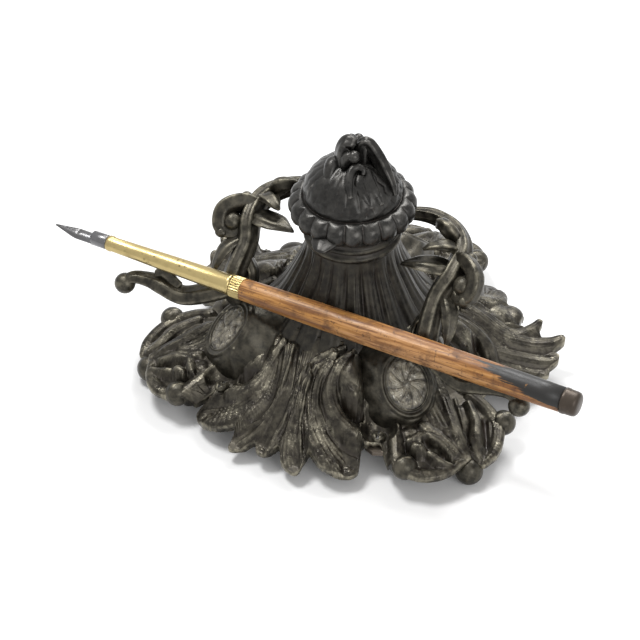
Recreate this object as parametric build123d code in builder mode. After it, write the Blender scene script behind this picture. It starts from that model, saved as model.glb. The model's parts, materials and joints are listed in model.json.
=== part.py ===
from build123d import *
import os
from math import cos, pi, radians, sin

os.makedirs("parts", exist_ok=True)

# The inkwell stands with its neck on the Z axis, its floor at Z 0 and its front towards -Y.

# Cast body: a fluted cone with a neck, a flat web around its foot, three leaves and three feet
web_top = 11.3
web_thickness = 2.5
web_radius = 52.0
cone_foot_radius = 46.0
neck_radius = 15.0
neck_start = 57.0
neck_top = 65.8
neck_bore_radius = 11.6
flute_count = 20
flute_depth = 0.9
neck_bead = 1.1

# Leaf sprays and feet stand in turn around the body
leaf_bearings = (-90, 30, 150)
foot_bearings = (-31, 211, 90)
leaf_reach = 62.0
leaf_ridge = 4.2
foot_reach = 73.5
foot_ball_radius = 4.6
foot_side_reach = 63.5
foot_side_turn = 18.0
foot_side_ball_radius = 4.2
ball_cap = 65

# Oval medallions stand on the feet's shoulders
medallion_bearings = (-40, 220, 90)
medallion_distance = 43.0
medallion_height = 26.0
medallion_tilt = 42.0
medallion_width = 17.0
medallion_length = 21.0
medallion_rim = 2.2
medallion_rim_height = 1.6
plaque_relief = 0.9

# Pen-rest arms, each between a seat on a shoulder and a lug on the neck
arm_seat = (35.5, -18.5)
arm_seat_height = 36.5
arm_seat_radius = 4.6
arm_lug_bearing = 50.0
arm_lug_distance = 19.2
arm_lug_height = 59.0
arm_lug_size = 5.0
hook_ball_radius = 3.2

# Ink liner of glass, hung in the neck by its flange
liner_clearance = 0.2
liner_flange_radius = 12.4
liner_flange_thickness = 1.4
liner_depth = 27.0
liner_wall = 1.6

# Lid: a gadrooned ring, a swirled dome and a finial of curled leaves
lid_gap = 0.3
ring_radius = 21.0
ring_height = 8.4
gadroon_count = 20
gadroon_depth = 1.5
dome_radius = 16.2
dome_height = 13.0
dome_swirls = 12
lid_bore_radius = 12.8
finial_height = 98.0
tab_reach = 25.0

# Lid hinge
hinge_y = 21.6
hinge_z = 66.9
knuckle_radius = 2.1
hinge_pin_radius = 0.9
hinge_length = 14.4
fixed_knuckle_length = 5.0
hinge_side_gap = 0.15
hinge_leaf_thickness = 1.0

# Bottom plate and the screws that hold it to the web
plate_thickness = 1.5
plate_radius = 47.0
casing_screw_bearings = (-54.6, -125.4, 65.4, 114.6)
casing_screw_distance = 49.7
casing_screw_radius = 1.1
casing_head_radius = 1.9
casing_head_height = 1.3
casing_ear_radius = 4.6
casing_nut_radius = 2.6
casing_nut_height = 1.6
slot_width = 0.5
slot_depth = 0.6

# Music movement: bedplate, and the line that the barrel and the cylinder share
bed_left, bed_right = -34.0, 27.5
bed_front, bed_back = -16.5, 18.0
bed_thickness = 2.0
bed_screw_inset = 4.0
bed_screw_radius = 1.0
bed_head_radius = 1.8
bed_head_height = 1.1
movement_y = -4.0
running_clearance = 0.05

# Spring barrel, upright, with crown teeth that turn the cylinder
barrel_x = -22.0
barrel_radius = 10.5
barrel_height = 6.6
barrel_wall = 0.8
barrel_cover = 0.9
crown_teeth = 24
crown_radius = 8.0
crown_face = 2.2
crown_tooth_height = 2.1
crown_tooth_width = 0.72
mainspring_turns = 4
mainspring_thickness = 0.45
arbor_radius = 1.5
arbor_head_radius = 2.6
arbor_head_height = 0.8
arbor_bush_radius = 2.6
ratchet_radius = 5.6
ratchet_depth = 0.9
ratchet_teeth = 16
ratchet_thickness = 1.2
ratchet_gap = 0.2
click_clearance = 0.1

# Winding key under the base
key_bottom = 1.6
key_hub_radius = 3.0
key_hub_height = 4.6
key_span = 23.0
key_wing_height = 4.4
key_wing_thickness = 2.0

# Cylinder and its train
pinion_teeth = 8
pinion_root_radius = 1.75
pinion_tip_radius = 3.2
pinion_face = 1.2
mesh_clearance = 0.2
cylinder_left, cylinder_right = -8.4, 16.8
cylinder_radius = 5.2
cylinder_pin_height = 0.8
cylinder_pin_width = 0.45
cylinder_pins = 28
cylinder_arbor_radius = 0.8
tooth_module = 0.4
gear_teeth = 36
gear_face = 1.8
gear_gap = 0.5
governor_pinion_teeth = 9
governor_wheel_teeth = 20
governor_wheel_face = 1.1
governor_wheel_pitch_radius = 4.4
governor_wheel_root_radius = 3.9
governor_wheel_tip_radius = 4.75
governor_bearing = -35.0
governor_arbor_radius = 0.5
cock_thickness = 1.8
cock_width = 6.0
frame_plate = 0.8
frame_width = 3.8
frame_foot = 1.2
frame_top = 28.0

# Comb
comb_left = -8.0
comb_teeth = 20
comb_pitch = 1.1
comb_slot = 0.3
comb_thickness = 1.2
comb_tip_clearance = 0.2
comb_bass_length = 7.6
comb_treble_length = 4.8
comb_back = 16.6
comb_screw_count = 3
comb_screw_radius = 0.9
comb_head_radius = 1.7
comb_head_height = 1.0

# Worm, fly and the stop that lets them go
worm_root_radius = 0.7
worm_tip_radius = 1.55
worm_pivot_radius = 0.4
worm_turns = 3
fly_level = 22.5
fly_radius = 4.0
fly_height = 3.4
fly_thickness = 0.4
rod_radius = 0.6
rod_clearance = 0.1
rod_x, rod_y = 10.2, 9.0
lever_z = 26.4
lever_drop = 0.3
lever_thickness = 1.0
lever_width = 1.8
lever_pin_radius = 0.5

# Dip pen that lies across both arms
pen_start, pen_end = -101.4, 93.2
pen_y, pen_z = -25.72, 41.75
pen_sideways, pen_fall = -0.0367, -0.0101
nib_length = 15.0
nib_holder_length = 6.0
ferrule_length = 48.0
band_length = 4.2
cap_length = 5.6
ferrule_tip_radius = 2.5
ferrule_radius = 3.5
band_radius = 3.8
handle_radius = 4.4
handle_end_radius = 4.1
nib_width = 4.6
nib_thickness = 0.3
band_ribs = 22

# Levels that follow from these
plate_top = web_top - web_thickness
plate_bottom = plate_top - plate_thickness
bed_top = plate_top + bed_thickness
ratchet_bottom = bed_top + ratchet_gap
barrel_bottom = ratchet_bottom + ratchet_thickness + ratchet_gap
barrel_top = barrel_bottom + barrel_height
crown_top = barrel_top + crown_tooth_height
axis_z = crown_top + mesh_clearance + pinion_root_radius
liner_radius = neck_bore_radius - liner_clearance
lid_bottom = neck_top + lid_gap
ring_top = lid_bottom + ring_height
dome_top = ring_top + dome_height
round_sides = 24
small_sides = 8


def at(radius, bearing, height):
    """A point given by its distance and bearing from the Z axis and its height."""
    return Vector(radius * cos(radians(bearing)), radius * sin(radians(bearing)), height)


casing_screw_places = [at(casing_screw_distance, bearing, 0) for bearing in casing_screw_bearings]


def save(piece, label):
    """Labels a finished piece and writes it under its label."""
    piece.part.label = label
    export_step(piece.part, f"parts/{label}.step")


def facets(sections):
    """Joins closed sections, each with as many points, into one solid with flat facets."""
    faces = []
    for near, far in zip(sections, sections[1:]):
        for here in range(len(near)):
            after = (here + 1) % len(near)
            faces.append(Face(Wire.make_polygon([near[here], near[after], far[after]])))
            faces.append(Face(Wire.make_polygon([near[here], far[after], far[here]])))
    faces.append(Face(Wire.make_polygon(sections[0])))
    faces.append(Face(Wire.make_polygon(sections[-1])))
    return Solid(Shell(faces))


blade = ((-1, 0), (0, 1), (1, 0), (0, -1))
strap = ((-0.7, -1), (-1, 0.2), (-0.4, 1), (0.4, 1), (1, 0.2), (0.7, -1))


def limb(points, widths, depths, outline=strap, steps=5, up=(0, 0, 1)):
    """A cast strap of the given cross-section along a smooth route. It swells through the widths and depths."""
    route = Spline(*points, mode=Mode.PRIVATE)
    width_curve = Spline(*[(i / (len(widths) - 1), w) for i, w in enumerate(widths)], mode=Mode.PRIVATE)
    depth_curve = Spline(*[(i / (len(depths) - 1), d) for i, d in enumerate(depths)], mode=Mode.PRIVATE)
    upward = Vector(*up)
    sections = []
    for step in range(steps + 1):
        place = step / steps
        along = route % place
        side = along.cross(upward).normalized()
        upward = side.cross(along).normalized()
        half = (width_curve @ place).Y / 2
        rise = (depth_curve @ place).Y / 2
        sections.append([
            route @ place + side * (half * across) + upward * (rise * lift)
            for across, lift in outline
        ])
    return facets(sections)


def ball(centre, radius, sides=8):
    """A cast bead with flat facets. Its poles are cut flat at the cap's latitude."""
    sections = []
    for rise in (-ball_cap, -ball_cap / 3, ball_cap / 3, ball_cap):
        level, reach = radius * sin(radians(rise)), radius * cos(radians(rise))
        sections.append([Vector(*centre) + at(reach, turn * 360 / sides, level) for turn in range(sides)])
    return facets(sections)


def toothed_outline(teeth, root_radius, tip_radius, root_share, tip_share, first=0.0):
    """Draws a wheel's outline: each tooth takes the given shares of the pitch at its root and its tip."""
    pitch = 360 / teeth
    corners = []
    for tooth in range(teeth):
        middle = first + tooth * pitch
        for radius, turn in (
            (root_radius, -root_share / 2), (tip_radius, -tip_share / 2),
            (tip_radius, tip_share / 2), (root_radius, root_share / 2),
        ):
            angle = radians(middle + turn * pitch)
            corners.append((radius * cos(angle), radius * sin(angle)))
    Polygon(*corners, align=None)


def star(count, ridge_radius, valley_radius, height, turn=0.0):
    """The points of a closed outline of ridges and valleys at one height."""
    return [
        at(valley_radius if step % 2 else ridge_radius, turn + step * 180 / count, height)
        for step in range(2 * count)
    ]


def medallion_plane(bearing):
    """The plane of a medallion's face: it looks outwards and up."""
    tilt = radians(medallion_tilt)
    outward = at(cos(tilt), bearing, sin(tilt))
    return Plane(
        origin=at(medallion_distance, bearing, medallion_height),
        x_dir=at(1, bearing + 90, 0), z_dir=outward,
    )


# One leaf spray, pointing along +X: lobes fan out of the cone and curl down to the floor
lobe_turns = (-31, -17, -2, 13, 28)
lobe_reaches = (0.96, 0.92, 1.06, 0.95, 0.98)
leaf = []
for lobe_turn, lobe_reach in zip(lobe_turns, lobe_reaches):
    tip_radius = leaf_reach * lobe_reach
    bend = lobe_turn * 0.35
    leaf.append(limb(
        [
            at(26, bend, 27), at(36, bend * 1.4, 21.5), at(47, lobe_turn * 0.75, 15.5),
            at(tip_radius - 5, lobe_turn, 9.5), at(tip_radius, lobe_turn * 1.04, 4.2),
        ],
        [9, 14, 17, 15, 6], [leaf_ridge, leaf_ridge, leaf_ridge, leaf_ridge, leaf_ridge / 2],
        outline=blade, steps=3,
    ))

# One foot, pointing along +X: a shoulder, a tongue that ends in a ball, and two side scrolls
foot = [
    limb(
        [at(30, 0, 22), at(44, 0, 19), at(57, 0, 12.5), at(68, 0, 11.5), at(foot_reach, 0, 10)],
        [18, 20, 15, 9, 6], [8, 9, 8, 7, 5], steps=4,
    ),
    ball(at(foot_reach - foot_ball_radius, 0, foot_ball_radius * sin(radians(ball_cap))), foot_ball_radius),
]
for side in (-1, 1):
    turn = side * foot_side_turn
    foot.append(limb(
        [
            at(38, turn * 0.3, 21), at(48, turn * 0.8, 15),
            at(58, turn * 1.2, 11.5), at(foot_side_reach, turn, 9.6),
        ],
        [9, 9, 8, 6], [8, 8, 6, 5], outline=blade, steps=3,
    ))
    foot.append(ball(at(foot_side_reach, turn, 9.6), foot_side_ball_radius))

# Main casting
cone_stations = (
    (web_top - 1, cone_foot_radius), (25.0, 32.0), (35.0, 24.5), (45.0, 19.2), (neck_start, neck_radius),
)
hollow_stations = ((0, 43.0), (web_top, 43.0), (25, 29.2), (34.5, 21.4), (46.5, 13.0))


def oval(plane, width, length, sides=16):
    """The points of an oval on a plane."""
    return [
        plane.from_local_coords((
            width / 2 * cos(radians(turn * 360 / sides)), length / 2 * sin(radians(turn * 360 / sides)), 0,
        ))
        for turn in range(sides)
    ]


def medallion_boss(bearing):
    """The drum that carries a medallion, out of the body to the face of its rim."""
    face = medallion_plane(bearing)
    return facets([
        oval(face.offset(-22), medallion_width + 5, medallion_length + 5),
        oval(face.offset(medallion_rim_height), medallion_width, medallion_length),
    ])


def seat_boss(side):
    """The boss that an arm stands on."""
    seat = Plane(origin=(side * arm_seat[0], arm_seat[1], arm_seat_height))
    return facets([
        oval(seat.offset(-20), 4 * arm_seat_radius, 4 * arm_seat_radius, sides=12),
        oval(seat, 2 * arm_seat_radius, 2 * arm_seat_radius, sides=12),
    ])


def lug_face(side):
    """The face of the neck's lug that an arm's upper end meets."""
    bearing = 90 - side * (90 - arm_lug_bearing)
    return Plane(origin=at(arm_lug_distance, bearing, arm_lug_height), z_dir=at(1, bearing, 0))


body = [
    facets([
        star(flute_count, radius, radius - flute_depth * min(1, (radius - neck_radius) / 6), height)
        for height, radius in cone_stations
    ]),
    facets([
        [at(neck_radius + swell, step * 15, neck_start + neck_bead + rise) for step in range(24)]
        for rise, swell in ((-neck_bead, 0), (0, neck_bead), (neck_bead, 0))
    ]),
]
for bearing in leaf_bearings:
    body += [piece.rotate(Axis.Z, bearing) for piece in leaf]
for bearing in foot_bearings:
    body += [piece.rotate(Axis.Z, bearing) for piece in foot]
body += [medallion_boss(bearing) for bearing in medallion_bearings]
body += [seat_boss(side) for side in (-1, 1)]
with BuildPart() as base_casting:
    add(body)
    with BuildSketch(Plane.XY.offset(plate_top)):
        Circle(web_radius)
    extrude(amount=web_thickness)
    with BuildSketch(Plane.XY.offset(neck_start - 0.5)):
        Circle(neck_radius)
    extrude(amount=neck_top - neck_start + 0.5)
    for side in (-1, 1):
        with BuildSketch(lug_face(side)):
            Rectangle(arm_lug_size, arm_lug_size)
        extrude(amount=neck_bore_radius + 2 - arm_lug_distance)

    # The hollow, the neck's bore, the plaque recesses, the seat of the bottom plate and the screw holes
    hollow = [facets([
        [at(radius, step * 20, height) for step in range(18)] for height, radius in hollow_stations
    ])]
    for bearing in medallion_bearings:
        face = medallion_plane(bearing)
        width, length = medallion_width - 2 * medallion_rim, medallion_length - 2 * medallion_rim
        hollow.append(facets([oval(face, width, length), oval(face.offset(5), width + 2, length + 2)]))
    add(hollow, mode=Mode.SUBTRACT)
    with BuildSketch(Plane.XY.offset(45)):
        Circle(neck_bore_radius)
    extrude(amount=neck_top - 45, mode=Mode.SUBTRACT)
    with BuildSketch(Plane.XY.offset(neck_top)):
        Circle(liner_flange_radius + 0.1)
    extrude(amount=-liner_flange_thickness, mode=Mode.SUBTRACT)
    with BuildSketch(Plane.XY):
        Circle(plate_radius + 0.5)
        with Locations(*casing_screw_places):
            RegularPolygon(casing_ear_radius + 0.5, 8)
    extrude(amount=plate_top, mode=Mode.SUBTRACT)
    with BuildSketch(Plane.XY.offset(web_top)):
        with Locations(*casing_screw_places):
            RegularPolygon(casing_head_radius + 0.4, 8)
    extrude(amount=10, mode=Mode.SUBTRACT)
    with BuildSketch(Plane.XY):
        with Locations(*casing_screw_places):
            RegularPolygon(casing_screw_radius, 8)
        with Locations((rod_x, rod_y)):
            RegularPolygon(rod_radius + rod_clearance, 12)
    extrude(amount=neck_top, mode=Mode.SUBTRACT)
save(base_casting, "base_casting")

# Medallion plaques: worn foliate relief set into the oval frames
for name, bearing in zip(("right", "left", "back"), medallion_bearings):
    face = medallion_plane(bearing)
    width, length = medallion_width - 2 * medallion_rim, medallion_length - 2 * medallion_rim
    relief = [facets([oval(face, width, length), oval(face.offset(plaque_relief), width - 1.6, length - 1.6)])]
    for turn in range(0, 360, 72):
        root = face.from_local_coords((0, 0, plaque_relief))
        tip = face.from_local_coords((
            width * 0.33 * cos(radians(turn)), length * 0.33 * sin(radians(turn)), plaque_relief * 0.8,
        ))
        relief.append(limb(
            [root, (root + tip) / 2 + face.z_dir * plaque_relief * 0.5, tip], [1.2, 2.6, 1.0], [0.8, 1.2, 0.6],
            outline=blade, steps=2, up=face.z_dir,
        ))
    with BuildPart() as plaque:
        add(relief)
    save(plaque, f"{name}_plaque")

# Pen-rest arms: stem, scroll, upper span, neck leaf and the hook that carries the pen
lug_point = at(arm_lug_distance, arm_lug_bearing, arm_lug_height)
lug_out = at(1, arm_lug_bearing, 0)
arm_limbs = [
    limb(
        [(35.5, -18.5, 35.5), (35, -16, 42), (34.5, -8, 49.5), (37.5, -1, 55), (36, 9, 59.5),
         (27, 19, 60.5), lug_point + lug_out * 3, lug_point - lug_out * 3],
        [8, 7, 6.5, 7.5, 6.5, 6, 5, 4.6], [7, 6, 5.5, 7, 6, 5, 4.6, 4.6], steps=10, up=(1, 0, 0),
    ),
    limb(
        [(36, 3, 57), (42, 0, 58.5), (46, -4, 56), (45, -7, 51.5), (41.5, -6.5, 50)],
        [6, 7, 7, 6, 4.5], [5, 5.5, 6, 5.5, 4.5], up=(0, 1, 0),
    ),
    limb(
        [(35, 1, 56), (28, -2, 57.5), (20.5, -3.5, 57)], [5, 7.5, 2], [4.5, 4, 1.5],
        outline=blade, steps=3,
    ),
    limb(
        [(36, -18, 37.5), (43, -22.5, 34), (51, -25, 31.5), (58, -24.8, 33.2), (64, -24.5, 33.5),
         (69, -26, 34), (72.5, -27.2, 31.5)],
        [8, 8, 7.5, 8, 6, 4.5, 4], [6, 6, 6, 7, 5, 4, 4], steps=8,
    ),
    limb(
        [(55.5, -24, 33.5), (60.5, -23.3, 37.2), (62.5, -23.3, 34.5)], [6, 4, 4], [4, 2.4, 3],
        steps=3, up=(0, 1, 0),
    ),
    ball((72.1, -27.2, 30.9), hook_ball_radius),
]
for side, name in ((1, "right"), (-1, "left")):
    with BuildPart() as arm:
        add(arm_limbs if side == 1 else [piece.mirror(Plane.YZ) for piece in arm_limbs])
        add([seat_boss(side), medallion_boss(medallion_bearings[0 if side == 1 else 1])], mode=Mode.SUBTRACT)
        with BuildSketch(lug_face(side)):
            Rectangle(3 * arm_lug_size, 3 * arm_lug_size)
        extrude(amount=-2 * arm_lug_size, mode=Mode.SUBTRACT)
    save(arm, f"{name}_arm")

# Ink liner
with BuildPart() as ink_liner:
    with BuildSketch(Plane.XY.offset(neck_top)):
        RegularPolygon(liner_flange_radius, round_sides)
    extrude(amount=-liner_flange_thickness)
    with BuildSketch(Plane.XY.offset(neck_top)):
        RegularPolygon(liner_radius, round_sides)
    extrude(amount=-liner_depth)
    with BuildSketch(Plane.XY.offset(neck_top)):
        RegularPolygon(liner_radius - liner_wall, round_sides)
    extrude(amount=liner_wall - liner_depth, mode=Mode.SUBTRACT)
save(ink_liner, "ink_liner")

# Lid: the gadrooned ring swells and draws in, and the dome's swirls turn as they rise
ring_stations = ((0, 0.88), (0.25, 0.99), (0.7, 0.99), (1, 0.84))
dome_stations = ((0, 1.0, 0), (0.3, 0.9, 10), (0.55, 0.68, 22), (0.8, 0.42, 36), (1, 0.3, 50))
cavity_stations = ((0, 1.0), (0.4, 0.98), (0.75, 0.8), (1, 0.4))


def gadroons(height, radius):
    """One outline of the ring: a valley and two crest points for each lobe."""
    pitch = 360 / gadroon_count
    return [
        at(radius - (gadroon_depth if corner == 0 else 0), (lobe + turn) * pitch, height)
        for lobe in range(gadroon_count) for corner, turn in enumerate((0, 0.3, 0.7))
    ]


knuckle_cut = hinge_length / 2 + 0.3
with BuildPart() as lid:
    add([
        facets([gadroons(lid_bottom + ring_height * rise, ring_radius * share) for rise, share in ring_stations]),
        facets([
            star(
                dome_swirls, dome_radius * share, dome_radius * share * 0.93,
                ring_top - 0.4 + dome_height * rise, turn,
            )
            for rise, share, turn in dome_stations
        ]),
        limb([(0, -17, lid_bottom + 2), (0, -21, lid_bottom + 2.2), (0, -tab_reach, lid_bottom + 1.2)],
             [9, 10, 4], [4, 3, 1.6], steps=3),
    ])
    add(
        facets([
            [at(lid_bore_radius * share, step * 20, lid_bottom + 15 * rise) for step in range(18)]
            for rise, share in cavity_stations
        ]),
        mode=Mode.SUBTRACT,
    )
    with BuildSketch(Plane.YZ.offset(-knuckle_cut)):
        with Locations((hinge_y, hinge_z)):
            Rectangle(2 * knuckle_radius + 1.6, 2 * knuckle_radius + 0.8)
        with Locations((hinge_y - 5, lid_bottom)):
            Rectangle(8, 2 * hinge_leaf_thickness)
    extrude(amount=2 * knuckle_cut, mode=Mode.SUBTRACT)
save(lid, "lid")

# Finial of curled leaves on the dome
finial_foot = dome_top - 2.2
with BuildPart() as lid_finial:
    add([
        limb(
            [(-1, 0, finial_foot), (-1, -1, finial_foot + 5), (-1.5, 1, finial_height - 5),
             (0, 0, finial_height - 1.5)],
            [6, 5.5, 5, 3], [6, 6, 5, 3], up=(0, 1, 0),
        ),
        limb(
            [(0, -1, finial_foot + 1), (-4, -5, finial_foot + 4), (-5, -5, finial_height - 7),
             (-3, -3, finial_height - 4)],
            [6, 6, 5, 2.5], [4, 4, 4, 2], steps=4, up=(1, 0, 0),
        ),
        limb(
            [(2, 0, finial_foot + 1), (6, -1, finial_foot + 3), (8.5, -1, finial_height - 7.5),
             (7, -1, finial_height - 4)],
            [6, 6.5, 5, 2], [4, 4, 3.5, 1.5], steps=4, up=(1, 0, 0),
        ),
        limb(
            [(0, 2, finial_foot + 1), (0, 6, finial_foot + 4), (1, 6, finial_height - 6),
             (0, 4, finial_height - 3)],
            [6, 6, 4.5, 2], [4, 4, 3.5, 1.5], steps=4, up=(1, 0, 0),
        ),
    ])
    with BuildSketch(Plane.XY.offset(dome_top - 0.4)):
        Circle(12)
    extrude(amount=-6, mode=Mode.SUBTRACT)
save(lid_finial, "lid_finial")

# Hinge: two knuckles on the lid's leaf, one on the neck's leaf, and the pin through them
with BuildPart() as lid_hinge_leaf:
    with BuildSketch(Plane.YZ):
        with Locations((hinge_y, hinge_z)):
            RegularPolygon(knuckle_radius, 12)
        with Locations(((hinge_y + neck_bore_radius + 2.2) / 2, lid_bottom + hinge_leaf_thickness / 2)):
            Rectangle(hinge_y - neck_bore_radius - 2.2, hinge_leaf_thickness)
    extrude(amount=hinge_length / 2, both=True)
    with BuildSketch(Plane.YZ):
        with Locations((hinge_y, hinge_z)):
            Rectangle(5.6, 2 * knuckle_radius + 1)
    extrude(amount=fixed_knuckle_length / 2 + hinge_side_gap, both=True, mode=Mode.SUBTRACT)
    with BuildSketch(Plane.YZ):
        with Locations((hinge_y, hinge_z)):
            RegularPolygon(hinge_pin_radius + running_clearance, 12, major_radius=False)
    extrude(amount=hinge_length, both=True, mode=Mode.SUBTRACT)
save(lid_hinge_leaf, "lid_hinge_leaf")
with BuildPart() as neck_hinge_leaf:
    with BuildSketch(Plane.YZ):
        with Locations((hinge_y, hinge_z)):
            RegularPolygon(knuckle_radius, 12)
        Polygon(
            (neck_radius, neck_top - 5), (neck_radius, neck_top), (hinge_y - 1, neck_top),
            (hinge_y + knuckle_radius - 0.3, neck_top), (hinge_y, neck_top - 2), align=None,
        )
    extrude(amount=fixed_knuckle_length / 2, both=True)
    with BuildSketch(Plane.YZ):
        with Locations((hinge_y, hinge_z)):
            RegularPolygon(hinge_pin_radius, 12)
    extrude(amount=fixed_knuckle_length, both=True, mode=Mode.SUBTRACT)
    with BuildSketch(Plane.XY.offset(neck_top - 6)):
        Circle(neck_radius)
    extrude(amount=6.5, mode=Mode.SUBTRACT)
save(neck_hinge_leaf, "neck_hinge_leaf")
with BuildPart() as hinge_pin:
    with BuildSketch(Plane.YZ):
        with Locations((hinge_y, hinge_z)):
            RegularPolygon(hinge_pin_radius, 12)
    extrude(amount=hinge_length / 2 + 0.2, both=True)
save(hinge_pin, "hinge_pin")

# Bottom plate
bed_screw_places = [
    (x, y)
    for x in (bed_left + bed_screw_inset, bed_right - bed_screw_inset)
    for y in (bed_front + bed_screw_inset, bed_back - bed_screw_inset)
]
with BuildPart() as bottom_plate:
    with BuildSketch(Plane.XY.offset(plate_bottom)):
        RegularPolygon(plate_radius, round_sides)
        with Locations(*casing_screw_places):
            RegularPolygon(casing_ear_radius, 8)
        with Locations(*casing_screw_places):
            RegularPolygon(casing_screw_radius, 8, mode=Mode.SUBTRACT)
        with Locations(*bed_screw_places):
            RegularPolygon(bed_screw_radius, 8, mode=Mode.SUBTRACT)
        with Locations((barrel_x, movement_y)):
            RegularPolygon(arbor_bush_radius, small_sides, mode=Mode.SUBTRACT)
    extrude(amount=plate_thickness)
save(bottom_plate, "bottom_plate")


def screws(places, seat, head_radius, head_height, shank_radius, reach):
    """Slotted screws, one at each place. The head rises from its seat if its height is above zero."""
    with BuildPart() as row:
        with BuildSketch(Plane.XY.offset(seat)):
            with Locations(*places):
                RegularPolygon(head_radius, small_sides)
        extrude(amount=head_height)
        with BuildSketch(Plane.XY.offset(seat)):
            with Locations(*places):
                RegularPolygon(shank_radius, 8)
        extrude(amount=-reach)
        face_height = seat + head_height
        with BuildSketch(Plane.XY.offset(face_height)):
            with Locations(*places):
                Rectangle(2 * head_radius, slot_width)
        extrude(amount=-slot_depth if head_height > 0 else slot_depth, mode=Mode.SUBTRACT)
    return row


casing_screws = screws(
    casing_screw_places, web_top, casing_head_radius, casing_head_height,
    casing_screw_radius, web_thickness + plate_thickness + casing_nut_height,
)
save(casing_screws, "casing_screws")
with BuildPart() as casing_nuts:
    with BuildSketch(Plane.XY.offset(plate_bottom)):
        with Locations(*casing_screw_places):
            RegularPolygon(casing_nut_radius, 6)
        with Locations(*casing_screw_places):
            RegularPolygon(casing_screw_radius, 8, mode=Mode.SUBTRACT)
    extrude(amount=-casing_nut_height)
save(casing_nuts, "casing_nuts")

# Bedplate of the music movement, screwed on from below
with BuildPart() as bedplate:
    with BuildSketch(Plane.XY.offset(plate_top)):
        Polygon(
            (bed_left, bed_front + 6), (bed_left + 6, bed_front), (bed_right, bed_front), (bed_right, bed_back),
            (bed_left + 6, bed_back), (bed_left, bed_back - 6), align=None,
        )
        with Locations(*bed_screw_places):
            RegularPolygon(bed_screw_radius, 8, mode=Mode.SUBTRACT)
        with Locations((barrel_x, movement_y)):
            RegularPolygon(arbor_bush_radius, small_sides, mode=Mode.SUBTRACT)
    extrude(amount=bed_thickness)
save(bedplate, "bedplate")
bedplate_screws = screws(
    bed_screw_places, plate_bottom, bed_head_radius, -bed_head_height,
    bed_screw_radius, -plate_thickness - bed_thickness,
)
save(bedplate_screws, "bedplate_screws")

# Winding arbor, its bush, the ratchet and the click spring
barrel_centre = (barrel_x, movement_y)
with BuildPart() as arbor_bush:
    with BuildSketch(Plane.XY.offset(plate_bottom)):
        with Locations(barrel_centre):
            RegularPolygon(arbor_bush_radius, small_sides)
            RegularPolygon(arbor_radius + running_clearance, small_sides, major_radius=False, mode=Mode.SUBTRACT)
    extrude(amount=bed_top - plate_bottom)
save(arbor_bush, "arbor_bush")
key_top = key_bottom + key_hub_height
with BuildPart() as winding_arbor:
    with BuildSketch(Plane.XY.offset(key_bottom + 0.4)):
        with Locations(barrel_centre):
            RegularPolygon(arbor_radius, 4)
    extrude(amount=key_hub_height)
    with BuildSketch(Plane.XY.offset(key_top)):
        with Locations(barrel_centre):
            RegularPolygon(arbor_radius, small_sides)
    extrude(amount=barrel_top + ratchet_gap - key_top)
    with BuildSketch(Plane.XY.offset(barrel_top + ratchet_gap)):
        with Locations(barrel_centre):
            RegularPolygon(arbor_head_radius, small_sides)
    extrude(amount=arbor_head_height)
save(winding_arbor, "winding_arbor")
ratchet_pitch = 360 / ratchet_teeth
ratchet_lead = 0.12 * ratchet_pitch
ratchet_corners = []
for tooth in range(ratchet_teeth):
    ratchet_corners.append(at(ratchet_radius - ratchet_depth, tooth * ratchet_pitch - ratchet_lead, 0))
    ratchet_corners.append(at(ratchet_radius, tooth * ratchet_pitch, 0))
with BuildPart() as ratchet_wheel:
    with BuildSketch(Plane.XY.offset(ratchet_bottom)):
        with Locations(barrel_centre):
            Polygon(*ratchet_corners, align=None)
            RegularPolygon(arbor_radius, small_sides, mode=Mode.SUBTRACT)
    extrude(amount=ratchet_thickness)
save(ratchet_wheel, "ratchet_wheel")
click_bearing = -3 * ratchet_pitch - ratchet_lead
click_root = at(ratchet_radius - ratchet_depth, click_bearing, bed_top) + Vector(*barrel_centre)
click_plane = Plane(origin=click_root, x_dir=at(1, click_bearing - 90, 0), z_dir=(0, 0, 1))
with BuildPart() as click_spring:
    with BuildSketch(click_plane):
        Polygon(
            (0.15, 0.2), (2.2, 1.0), (7.0, 1.3), (9.0, 0.6), (11.0, 2.6), (9.0, 4.2), (7.0, 2.2), (0.15, 1.1),
            align=None,
        )
    extrude(amount=ratchet_thickness)
    with BuildSketch(Plane.XY.offset(bed_top)):
        with Locations(barrel_centre):
            Circle(ratchet_radius + click_clearance)
    extrude(amount=2 * ratchet_thickness, mode=Mode.SUBTRACT)
save(click_spring, "click_spring")

# Winding key: a square-bored hub with two wings
with BuildPart() as winding_key:
    with BuildSketch(Plane.XY.offset(key_bottom)):
        with Locations(barrel_centre):
            RegularPolygon(key_hub_radius, small_sides)
    extrude(amount=key_hub_height)
    with BuildSketch(Plane.XZ.offset(-movement_y)):
        with Locations((barrel_x, key_bottom)):
            Polygon(
                (-key_span / 2, 0.6), (-key_span / 2 + 1.5, 0), (-5, 0), (0, 0.8), (5, 0), (key_span / 2 - 1.5, 0),
                (key_span / 2, 0.6), (key_span / 2, key_wing_height - 0.8), (key_span / 2 - 1.5, key_wing_height),
                (6, key_wing_height - 0.6), (0, key_wing_height - 1.4), (-6, key_wing_height - 0.6),
                (-key_span / 2 + 1.5, key_wing_height), (-key_span / 2, key_wing_height - 0.8), align=None,
            )
    extrude(amount=key_wing_thickness / 2, both=True)
    with BuildSketch(Plane.XY.offset(key_bottom + 0.4)):
        with Locations(barrel_centre):
            RegularPolygon(arbor_radius, 4)
    extrude(amount=key_hub_height, mode=Mode.SUBTRACT)
save(winding_key, "winding_key")

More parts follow.
